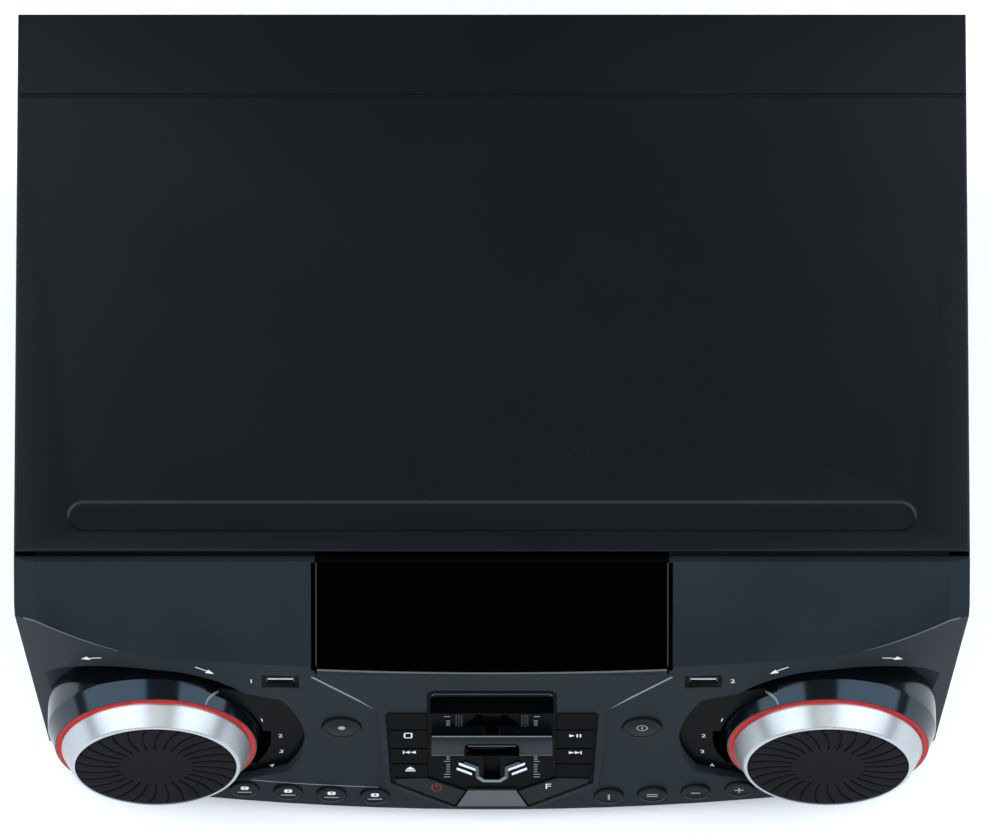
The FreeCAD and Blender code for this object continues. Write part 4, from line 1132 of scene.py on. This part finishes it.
# %% [markdown]
# ## Keys and crescents
# The keys of the panel, the two long keys and the touch crescents beside the dials are flat mouldings.
# Their packed outlines are right, so each is a copy with evenly shaded faces.

# %% Keys and crescents
for node in nodes:
    if node.startswith("key_l") or node.startswith("key_r") or node in ("power_key", "function_key"):
        black = key_black if node.startswith("key_") else button_black
        even_shading(settle("moulded_" + node, packed_copy(node), black, node + "_body", [node], angle=20))
for name in side_names.values():
    node = "crescent_panel_" + name
    even_shading(settle("touch_" + node, packed_copy(node), panel_black, "unit", [node], angle=20))
print("keys and crescents copied")

# %% [markdown]
# ## Lever
# The throttle lever is a bar with a sloping face. A block with moved corners would do, but a section
# pulled along the width states the slope plainly, and its edges are bevelled afterwards. A gloss black
# plate with rounded upper corners lies on the sloping face and hangs a little over the nose.


# %% Lever bar and plate
def rounded(points, radii, steps=6):
    """Closed outline with each corner replaced by an arc that starts a radius away from it."""
    result = []
    count = len(points)
    for i in range(count):
        here = Vector(points[i])
        before = Vector(points[i - 1])
        after = Vector(points[(i + 1) % count])
        size = radii[i] if isinstance(radii, list) else radii
        if size == 0:
            result.append(tuple(here))
            continue
        start = here + (before - here).normalized() * size
        end = here + (after - here).normalized() * size
        for k in range(steps + 1):
            t = k / steps
            result.append(tuple(start * (1 - t) ** 2 + here * 2 * t * (1 - t) + end * t ** 2))
    return result


lever_half = 28.7
plate_half = 13
plate_foot = 0.02
plate_top = 0.85
lever_line = [(-58.5, 1.0), (-59.0, 5.0), (-62.0, 9.2), (-64.0, 9.2), (-64.5, 1.0)]
back_foot, back_top, nose_top = lever_line[:3]
bar = lofted([[(x, y, z) for y, z in lever_line] for x in (-lever_half, lever_half)])
softened(bar, size=0.5)
bmesh.ops.transform(bar, matrix=front_place, verts=bar.verts)
settle("lever_grip", bar, satin_silver, "lever", ["lever_bar"], angle=40)

plate_outline = rounded(oblong(-plate_half, plate_half, -1.0, 4.6), [0.4, 0.4, 2.2, 2.2])
slope_turn = math.atan2(nose_top[1] - back_top[1], back_top[0] - nose_top[0])
plate_place = front_place @ Matrix.Translation((0, *nose_top)) @ Matrix.Rotation(-slope_turn, 4, "X")
plate = slab(plate_outline, plate_foot, plate_top, plate_place)
softened(plate, size=0.25)
settle("lever_plate", plate, window_acrylic, "lever", ["lever_label"], angle=40)
print("lever made")

# %% [markdown]
# ## Marks
# Printed marks could be painted into a texture, but an image file isn't at hand and pixels would show.
# They are flat faces instead, a few hundredths of a millimetre over the surface that carries them. A
# line is drawn as a stroke: a strip of faces of constant width along its points. Only common signs are
# used: play, stop, skip, eject, power, plus, minus, plain digits and one plain letter.


# %% Mark tools
def stroke(points, width, closed=False):
    """Faces of a line of a width along points."""
    spots = [Vector(p) for p in points]
    count = len(spots)
    sides = []
    for i, spot in enumerate(spots):
        runs = []
        if closed or i > 0:
            runs.append((spot - spots[i - 1]).normalized())
        if closed or i < count - 1:
            runs.append((spots[(i + 1) % count] - spot).normalized())
        squares = [Vector((-run.y, run.x)) for run in runs]
        across = sum(squares, Vector((0, 0))).normalized()
        across *= width / 2 / max(across.dot(squares[0]), 0.3)
        sides.append((spot - across, spot + across))
    pairs = list(zip(sides, sides[1:])) + ([(sides[-1], sides[0])] if closed else [])
    return [(a[0], b[0], b[1], a[1]) for a, b in pairs]


def ring(x, y, radius, start=0, end=360, steps=28):
    """Points on a circle between two angles in degrees."""
    turns = [math.radians(start + (end - start) * i / steps) for i in range(steps + (end - start < 360))]
    return [(x + radius * math.cos(a), y + radius * math.sin(a)) for a in turns]


def marked(name, outlines, place, lift, material, body):
    """Flat faces on a surface, turned to look out of it."""
    bm = bmesh.new()
    for outline in outlines:
        bm.faces.new([bm.verts.new((p[0], p[1], lift)) for p in outline])
    faced(bm, (0, 0, 1))
    bmesh.ops.transform(bm, matrix=place, verts=bm.verts)
    return settle(name, bm, material, body)


def digits(text, size, x, y, turn=0.0):
    """Faces of plain digits or a letter, as outlines round a middle."""
    line = bpy.data.curves.new("digits", "FONT")
    line.body = text
    line.size = size
    line.align_x = "CENTER"
    line.align_y = "CENTER"
    line.resolution_u = 4
    writer = bpy.data.objects.new("digits", line)
    mesh = writer.to_mesh()
    place = Matrix.Translation((x, y, 0)) @ Matrix.Rotation(turn, 4, "Z")
    spots = [place @ v.co for v in mesh.vertices]
    faces = [[(spots[i].x, spots[i].y) for i in p.vertices] for p in mesh.polygons]
    bpy.data.objects.remove(writer)
    return faces


def shifted(outlines, x, y):
    """The same outlines, moved."""
    return [[(p[0] + x, p[1] + y) for p in outline] for outline in outlines]


print("mark tools ready")

# %% [markdown]
# ## Signs on the keys
# Each sign is put together from arrows, oblongs and strokes round its own middle and then moved to its
# key. It rides on the key's body, so it goes down with the key. Two thin lines on the lever are drawn
# the same way: they stand for the light on its upper edge and on the edge of its plate.

# %% Signs on the keys
right_arrow = [(-1.3, -1.3), (1.3, 0), (-1.3, 1.3)]
left_arrow = [(1.3, -1.3), (-1.3, 0), (1.3, 1.3)]
stop_sign = stroke(rounded(oblong(-1.7, 1.7, -2.2, 2.2), 0.9), width=0.7, closed=True)
skip_back = [oblong(-3.3, -2.7, -1.5, 1.5)] + shifted([left_arrow], -1.3, 0) + shifted([left_arrow], 1.5, 0)
skip_next = [oblong(2.7, 3.3, -1.5, 1.5)] + shifted([right_arrow], 1.3, 0) + shifted([right_arrow], -1.5, 0)
play_sign = shifted([right_arrow], -1.5, 0) + [oblong(0.6, 1.3, -1.5, 1.5), oblong(2.1, 2.8, -1.5, 1.5)]
eject_sign = [[(-2.4, -0.6), (2.4, -0.6), (0, 2.2)], oblong(-2.4, 2.4, -2.2, -1.3)]
power_ring = [(x, 1.5 * y) for x, y in ring(0, 0, 2.2, 125, 415)]
power_sign = stroke(power_ring, width=0.65) + [oblong(-0.35, 0.35, 0.2, 4.2)]
key_face = 1.24
lever_edge_lift = 0.03
plate_edge_lift = 0.87
key_signs = {
    "key_left_2": (stop_sign, -39.6, -58.4, print_white),
    "key_left_3": (skip_back, -38.8, -74.1, print_white),
    "key_left_4": (eject_sign, -38.6, -89.7, print_white),
    "key_right_2": (play_sign, 39.4, -58.6, print_white),
    "key_right_3": (skip_next, 39.2, -74.4, print_white),
    "power_key": (power_sign, -26.3, -107.2, print_red),
    "function_key": (digits("F", 7.0, 0, 0), 26.6, -106.4, print_white),
}
for node, (sign, x, y, ink) in key_signs.items():
    marked("sign_" + node, shifted(sign, x, y), front_place, key_face, ink, node + "_body")

top_turn = -math.atan2(back_top[1] - back_foot[1], back_foot[0] - back_top[0])
lever_top = front_place @ Matrix.Translation((0, *back_foot)) @ Matrix.Rotation(top_turn, 4, "X")
marked("lever_edge", [oblong(-28.3, 28.3, -1.0, -0.4)], lever_top, lever_edge_lift, bright_painted_highlight, "lever")
marked("plate_edge", [oblong(-11.2, 11.2, 3.6, 3.95)], plate_place, plate_edge_lift, painted_highlight_grey, "lever")
print("key signs printed:", len(key_signs))

# %% [markdown]
# ## Trim of the control panel
# Round the lever's slot lies a bright frame like the letter U, with arms that open upwards, and under
# its arms lie four chrome bars. They stand up from the panel, so they are solids with bevelled edges: a
# flat print would not catch the light. The bottom of the U has a painted highlight, brighter than its arms.

# %% Trim of the control panel
panel_face = 0.38
trim_height = 0.7
bar_top = 1.0
bar_slope = 0.72
painted_highlight_faces = 1


def bar_along(points, width, low, height):
    """A flat bar of a width that follows points."""
    bm = bmesh.new()
    for outline in stroke(points, width):
        bm.faces.new([bm.verts.new((p[0], p[1], low)) for p in outline])
    bmesh.ops.remove_doubles(bm, verts=bm.verts, dist=0.01)
    raised(bm, bm.faces[:], height)
    return bm


frame_line = [(-13.2, -84.0), (-7.0, -88.8), (-6.8, -98.0), (-3.8, -101.9), (3.8, -101.9), (6.8, -98.0),
              (7.0, -88.8), (13.2, -84.0)]
trim = bar_along(frame_line, width=1.7, low=panel_face, height=trim_height)
softened(trim, size=0.2, segments=2, angle=40)
# Faces at the bottom of the U take the painted highlight.
for face in trim.faces:
    if face.calc_center_median().y < -98.5:
        face.material_index = painted_highlight_faces
bmesh.ops.transform(trim, matrix=front_place, verts=trim.verts)
settle("slot_trim", trim, [smoked_chrome, bright_painted_highlight], "unit")

stripes = []
for side in (-1, 1):
    for outer, inner, top, wide in ((15.7, 7.6, -84.2, 2.4), (16.7, 9.4, -88.8, 2.3)):
        foot = top - (outer - inner) * bar_slope
        corners = [(side * outer, top), (side * inner, foot), (side * inner, foot - wide),
                   (side * outer, top - wide)]
        one = slab(rounded(corners, 0.5, steps=3), panel_face, bar_top)
        stripes.append(softened(one, size=0.2, segments=2, angle=40))
bars = merged(stripes)
bmesh.ops.transform(bars, matrix=front_place, verts=bars.verts)
settle("chrome_stripes", bars, chrome, "unit", ["chrome_chevrons"], angle=40)
print("panel trim made")

# %% [markdown]
# ## Scales of the control panel
# Beside the slot are two printed scales with long and short marks, and over the lever a black wedge
# of painted shade between two groups of dim stripes of painted reflection. They overlap, so each lies a
# hundredth of a millimetre over the one before, which is enough to keep their faces apart.

# %% Scales of the control panel
dim_lift = 0.42
wedge_lift = 0.43
scale_lift = 0.44
scale_start = 19.8
mark_half = 0.27
long_marks = (-42.0, -84.0, -96.1, -98.6)
short_marks = (-46.0, -48.0, -50.0, -79.9, -81.9, -87.0, -89.1, -91.4, -93.7)
wedge_foot = -51.3
wedge_top = -40.4


def beside(side, near, far, low, high):
    """Oblong on one side of the middle, between two distances from it."""
    return oblong(*sorted((side * near, side * far)), low, high)


scale = []
wedge = []
dim = []
for side in (-1, 1):
    for level in long_marks + short_marks:
        length = 2.9 if level in long_marks else 1.8
        scale.append(beside(side, scale_start, scale_start + length, level - mark_half, level + mark_half))
    # The wedge is painted shade over the lever, and the dim stripes beside it are painted reflection.
    wedge.append([(side * 7.1, wedge_top), (side * 4.05, wedge_top), (side * 4.05, wedge_foot),
                  (side * 13.6, wedge_foot)])
    for x in (13.9, 15.2, 16.5):
        dim.append(beside(side, x, x + 0.7, wedge_foot, wedge_top))
marked("lever_scale", scale, front_place, scale_lift, print_grey, "unit")
marked("lever_wedge_painted_shade", wedge, front_place, wedge_lift, matt_black_painted_shade, "unit")
marked("dim_stripes_painted_reflection", dim, front_place, dim_lift, dim_painted_light, "unit")
print("scale marks:", len(scale))

# %% [markdown]
# ## Marks on the wall
# The wall is bowed, so a flat mark would sink into it or stand off. Its marks are laid on it point by
# point: a ray from the front finds the wall, and the point is moved out a little along the wall's
# normal. Long lines get points every few millimetres first. Arrows over the hoods show that the dials
# turn.

# %% Marks on the wall
wall_tree = BVHTree.FromPolygons([v.co / mm for v in fascia.data.vertices],
                                 [list(p.vertices) for p in fascia.data.polygons])
before_wall = -300
backwards = Vector((0, 1, 0))


def laid_on_wall(name, outlines, material, lift=0.08):
    """Flat outlines in x and z, laid on the wall."""
    bm = bmesh.new()
    for outline in outlines:
        bm.faces.new([bm.verts.new((p[0], before_wall, p[1])) for p in outline])
    for vert in bm.verts:
        spot, normal = wall_tree.ray_cast(vert.co, backwards)[:2]
        vert.co = spot + normal * lift
    faced(bm, -backwards)
    return settle(name, bm, material, "unit")


def dense(points, step=1.5):
    """The same line with points every few millimetres."""
    result = [Vector(points[0])]
    for start, end in zip(points, points[1:]):
        start, end = Vector(start), Vector(end)
        count = max(1, round((end - start).length / step))
        result += [start.lerp(end, (k + 1) / count) for k in range(count)]
    return result


def mirrored(points, side):
    """Points of the right half, put on one side."""
    return [(side * x, z) for x, z in points]


outer_shaft = [(191.0, 131.6), (187.5, 134.2), (184.0, 136.2)]
outer_head = [(193.8, 129.2), (189.2, 131.2), (191.0, 133.8)]
inner_shaft = [(139.8, 138.3), (136.6, 136.5), (134.0, 134.8)]
inner_head = [(130.9, 132.6), (135.2, 133.2), (133.6, 136.4)]
bracket_line = [(-114.0, 32.2), (-96.0, 31.6), (-54.0, 31.2)]
port_numbers = {-1: "1", 1: "2"}
number_aside = 113.5
number_height = 127.0
for side, name in side_names.items():
    shafts = [stroke(dense(mirrored(shaft, side)), width=0.6) for shaft in (outer_shaft, inner_shaft)]
    arrows = shafts[0] + shafts[1] + [mirrored(head, side) for head in (outer_head, inner_head)]
    laid_on_wall("turn_arrows_" + name, arrows, print_white)
    port_number = digits(port_numbers[side], 5.0, side * number_aside, number_height)
    laid_on_wall("port_number_" + name, port_number, print_white)
    if side < 0:
        laid_on_wall("pad_bracket", stroke(dense(bracket_line), width=0.45), print_grey)
print("wall marks laid")

# %% [markdown]
# ## Marks on crescents and buttons
# The crescents carry four digits each, turned to follow the dial, and a dark band of painted shade along the
# collar.
# The pads on the left have a white badge with a digit and a bar below it, those on the right plain
# lines. A short grey arc on each pad is the light on its lower edge. All of them use the frames of
# dials and buttons made above.

# %% Marks on crescents and buttons
crescent_spots = [(50.3, 16.5), (58.9, 0.5), (59.3, -15.4), (54.6, -29.5)]
crescent_lift = -6.16
shade_band_lift = -6.18
shade_band_radius = 52.4
shade_band_width = 4.4
sign_lift = -0.05
badge_lift = -0.02
mark_lift = 0.0
digit_lift = 0.02
arc_lift = 0.02
shade_band_ends = {-1: (-30, 6), 1: (174, 210)}
badge = rounded(oblong(-1.9, 1.9, 0.4, 3.6), 1.2)
minus = oblong(-2.2, 2.2, -0.45, 0.45)
pad_lines = {
    1: [oblong(-0.5, 0.5, -2.4, 2.4)],
    2: [oblong(-2.6, 2.6, 0.5, 1.3), oblong(-2.6, 2.6, -1.3, -0.5)],
    3: [minus],
    4: [minus, oblong(-0.45, 0.45, -2.2, 2.2)],
}
button_signs = {
    -1: [ring(0, 0, 1.7)],
    1: stroke(ring(0, 0, 2.4), width=0.5, closed=True) + [oblong(-0.3, 0.3, -1.2, 1.2)],
}
pad_arc = stroke(ring(0, 0, 6.25, 215, 325), width=0.28)
for side, name in side_names.items():
    labels = []
    for number, (x, y) in enumerate(crescent_spots, 1):
        labels += digits(str(number), 4.6, -side * x, y, -side * math.atan2(y, 90))
    marked("crescent_digits_" + name, labels, dial_places[side], crescent_lift, print_white, "unit")
    # A band of painted shade in the recess along the collar.
    shade_band = stroke(ring(0, 0, shade_band_radius, *shade_band_ends[side]), shade_band_width)
    marked("crescent_painted_shade_" + name, shade_band, dial_places[side], shade_band_lift, matt_black_painted_shade, "unit")
    node = "round_button_" + name
    sign_place = button_place(node) @ Matrix.Translation((0, 1.0, 0))
    marked("sign_" + node, button_signs[side], sign_place, sign_lift, print_grey, node + "_body")
    for number in range(1, 5):
        node = "pad_" + name + "_" + str(number)
        pad_place = button_place(node)
        lines = pad_lines[number]
        if side < 0:
            marked("badge_" + node, [badge], pad_place, badge_lift, print_white, node + "_body")
            numeral = digits(str(5 - number), 3.2, 0, 2.0)
            marked("digit_" + node, numeral, pad_place, digit_lift, key_black, node + "_body")
            lines = [oblong(-3.4, 3.4, -2.3, -1.5)]
        marked("mark_" + node, lines, pad_place, mark_lift, print_grey, node + "_body")
        marked("rim_" + node, pad_arc, pad_place, arc_lift, painted_highlight_grey, node + "_body")
print("dial and button marks printed")

# %% [markdown]
# ## Ports
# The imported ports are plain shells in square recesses. Each recess is lined in black with rounded
# corners, so that the bright shell stands out, and the steel tongue that a plug slides over lies in its
# upper half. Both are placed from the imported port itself, at its front face.

# %% Ports
port_aside = 99.7
port_outline = rounded(oblong(-8.7, 8.7, -5.7, 5.7), 2.0)
for side, name in side_names.items():
    port_place = leaning(side * port_aside, 0, 0, front_lean)
    spots = [v.co / mm for v in nodes["usb_ports"].data.vertices if v.co.x * side > 0]
    out = port_place.to_3x3() @ Vector((0, 0, 1))
    up = port_place.to_3x3() @ Vector((0, 1, 0))
    face_level = max(spot.dot(out) for spot in spots)
    middle_level = (max(spot.dot(up) for spot in spots) + min(spot.dot(up) for spot in spots)) / 2
    place = Matrix.Translation(out * face_level + up * middle_level) @ port_place
    liner = slab(port_outline, -0.05, 0.5, place)
    hole = block(-6.7, 6.7, -3.0, 3.0, -2, 3, place)
    settle("port_liner_" + name, cut(liner, [hole]), inner_black_and_shade, "unit", angle=40)
    tongue = block(-6.0, 6.0, 0.0, 1.5, -0.6, 0.2, place)
    settle("port_tongue_" + name, softened(tongue, size=0.15, segments=2), port_steel, "unit", angle=40)
print("ports lined")

# %% [markdown]
# ## Brow, lip and grooves of the window
# Below the window the wall rises into a low brow, bowed like the front, and a thin grey lip runs along
# it, coloured as a painted highlight. The top of the brow and a strip along the foot of the window are
# painted black as the shadow under the sill. The brow is a slab with one curved side, and the lip a bar
# along the same curve, so the two can't drift apart. At both ends of the window a black groove marks
# where the pane sits in its frame, and a dim line beside it is a painted highlight on the pane's edge.

# %% Brow, lip and grooves of the window
lip_half = 82.4
lip_steps = 24
lip_low = -0.4
lip_rise = 3.1
brow_foot = -2.2
groove_top = 52.6
groove_lift = 0.05
line_lift = 0.06
lip = [(lip_half * i / lip_steps, lip_low + lip_rise * (i / lip_steps) ** 2)
       for i in range(-lip_steps, lip_steps + 1)]
brow = slab([(-lip_half, brow_foot), (lip_half, brow_foot)] + lip[::-1], -4.0, 1.0)
# The top of the brow is painted black as the shadow under the sill.
for face in brow.faces:
    if face.normal.y > 0.7:
        face.material_index = window_black_and_shade
bmesh.ops.transform(brow, matrix=front_place, verts=brow.verts)
settle("window_brow", brow, [fascia_plastic, window_acrylic], "unit", angle=40)
lip_bar = bar_along(lip, width=0.9, low=0.98, height=0.45)
bmesh.ops.transform(lip_bar, matrix=front_place, verts=lip_bar.verts)
settle("window_lip", lip_bar, painted_highlight_grey, "unit", angle=40)
grooves_and_sill_shadow = [beside(side, window_half, 85.2, 0.2, groove_top) for side in (-1, 1)]
# A black strip along the foot of the window is painted shadow under the sill.
grooves_and_sill_shadow.append(oblong(-window_half, window_half, -0.2, 2.4))
marked("window_grooves_and_sill_shadow", grooves_and_sill_shadow, window_place, groove_lift, window_acrylic, "unit")
# The dim lines are painted highlights on the edges of the pane.
side_highlights = [beside(side, 82.5, 83.1, 2.0, groove_top) for side in (-1, 1)]
marked("window_side_highlights", side_highlights, window_place, line_lift, dim_painted_light, "unit")
print("window framed")

# %% [markdown]
# ## Bright edges of the front
# Where the shield meets the wall, and along the outer ends of the crease, the edge of the moulding
# catches the light. Each edge is a narrow strip laid on the wall, coloured as a painted highlight. The
# crease has no simple formula on the bowed wall, so its height is searched by halving, with a ray at each
# step.

# %% Edges of the front
search_low = 110.0
search_high = 173.0
halvings = 24


def crease_at(x):
    """Height of the crease over a place across the unit, found by halving."""
    low, high = search_low, search_high
    for step in range(halvings):
        middle = (low + high) / 2
        spot, normal = wall_tree.ray_cast(Vector((x, before_wall, middle)), backwards)[:2]
        if spot is None or normal.z > 0.35:
            high = middle
        else:
            low = middle
    return low


shield_line = [(85.0, 133.4), (55.4, 105.4)]
crease_start = 220.5
crease_run = 44.5
crease_steps = 17
crease_half = 0.42
rim_foot = 0.9
rim_top = 1.4
for side, name in side_names.items():
    shield_edge = stroke(dense(mirrored(shield_line, side)), width=1.3)
    laid_on_wall("shield_edge_" + name, shield_edge, bright_painted_highlight, lift=0.2)
    strip = []
    for k in range(crease_steps + 1):
        x = side * (crease_start - crease_run * k / crease_steps)
        half = crease_half * (1 - k / (crease_steps + 2))
        level = crease_at(x)
        strip.append(((x, level - half), (x, level + half)))
    crease_edge = [(a[0], a[1], b[1], b[0]) for a, b in zip(strip, strip[1:])]
    laid_on_wall("crease_edge_" + name, crease_edge, painted_highlight_grey, lift=0.28)
    head = beside(side, 49.4, 30.8, -43.0, -37.6)
    settle("panel_head_" + name, slab(head, rim_foot, rim_top, front_place), key_black, "unit", angle=40)
print("front edges laid")

# %% [markdown]
# ## Rim of the lever's recess
# The recess that the lever slides in has a raised black rim with round upper corners, and inside it a
# thin grey line, a painted highlight on its upper edge. Both follow the same rounded outline.

# %% Rim of the lever's recess
rim_line_lift = 1.43
rim_outline = rounded(oblong(-29.6, 29.6, -21.6, -17.4), [0, 0, 2.8, 2.8])
settle("recess_rim", slab(rim_outline, rim_foot, rim_top, front_place), panel_black, "unit", angle=40)
rim_light = rounded([(-28.2, -21.4), (-28.2, -19.5), (28.2, -19.5), (28.2, -21.4)], [0, 1.8, 1.8, 0])
marked("recess_line", stroke(rim_light, width=0.4), front_place, rim_line_lift, painted_highlight_grey, "unit")
print("recess rimmed")

# %% [markdown]
# ## Studio
# Two wide softboxes hang over the left and right of the unit with a gap between them, as the gloss
# collars show: bright left and right, dark in the middle. A weak light at the lens lifts the dark
# parts, and a low strip in front draws the line of the bead. The floor is white to the camera, and to
# rays that a mirror or a clear piece sends on, but darker for the light that it throws back, because a
# white floor would lighten every steep wall.

# %% Floor
floor_size = 6
floor_mesh = bpy.data.meshes.new("studio_floor")
bm = bmesh.new()
bmesh.ops.create_grid(bm, x_segments=1, y_segments=1, size=floor_size)
bm.to_mesh(floor_mesh)
bm.free()
floor = bpy.data.objects.new("studio_floor", floor_mesh)
bpy.context.scene.collection.objects.link(floor)
# Matt paint: an even white without a shine, on which only the soft shadow of the unit shows.
floor_paint, tree, shader = finish("matt_white_floor", "painted_steel", "#f6f6f6", roughness=0.9,
                                   Specular_IOR_Level=0.0)
path = add(tree, "ShaderNodeLightPath")
seen = path.outputs["Is Camera Ray"]
for ray in ("Is Glossy Ray", "Is Transmission Ray"):
    either = add(tree, "ShaderNodeMath", links={0: seen, 1: path.outputs[ray]}, operation="MAXIMUM")
    seen = either.outputs["Value"]
varied(tree, shader, seen, "#a8a8a8", "#f6f6f6", "Base Color")
floor_mesh.materials.append(floor_paint)
print("floor laid")


# %% Lights
def softbox(name, spot, size, power, colour, tilt=0):
    """A wide light that faces down, or is tilted towards the unit by an angle."""
    lamp = bpy.data.lights.new(name, "AREA")
    lamp.shape = "RECTANGLE"
    lamp.size, lamp.size_y = size
    lamp.energy = power
    lamp.color = linear(colour)[:3]
    light = bpy.data.objects.new(name, lamp)
    light.location = spot
    light.rotation_euler = (math.radians(-tilt), 0, 0)
    bpy.context.scene.collection.objects.link(light)


softbox("softbox_left", (-2.85, -0.5, 1.2), (5.0, 2.9), power=150, colour="#e4edf7")
softbox("softbox_right", (2.85, -0.5, 1.2), (5.0, 2.9), power=150, colour="#e4edf7")
softbox("softbox_lens", (0, -1.0, 1.9), (0.7, 0.5), power=4, colour="#ffffff", tilt=-25)
softbox("strip_front", (0, -2.6, 0.75), (2.6, 0.25), power=10, colour="#ffffff", tilt=-75)
world = bpy.data.worlds.new("studio")
world.use_nodes = True
background = world.node_tree.nodes["Background"]
background.inputs["Color"].default_value = linear("#ffffff")
background.inputs["Strength"].default_value = 0.25
bpy.context.scene.world = world
print("lights:", len(bpy.data.lights))
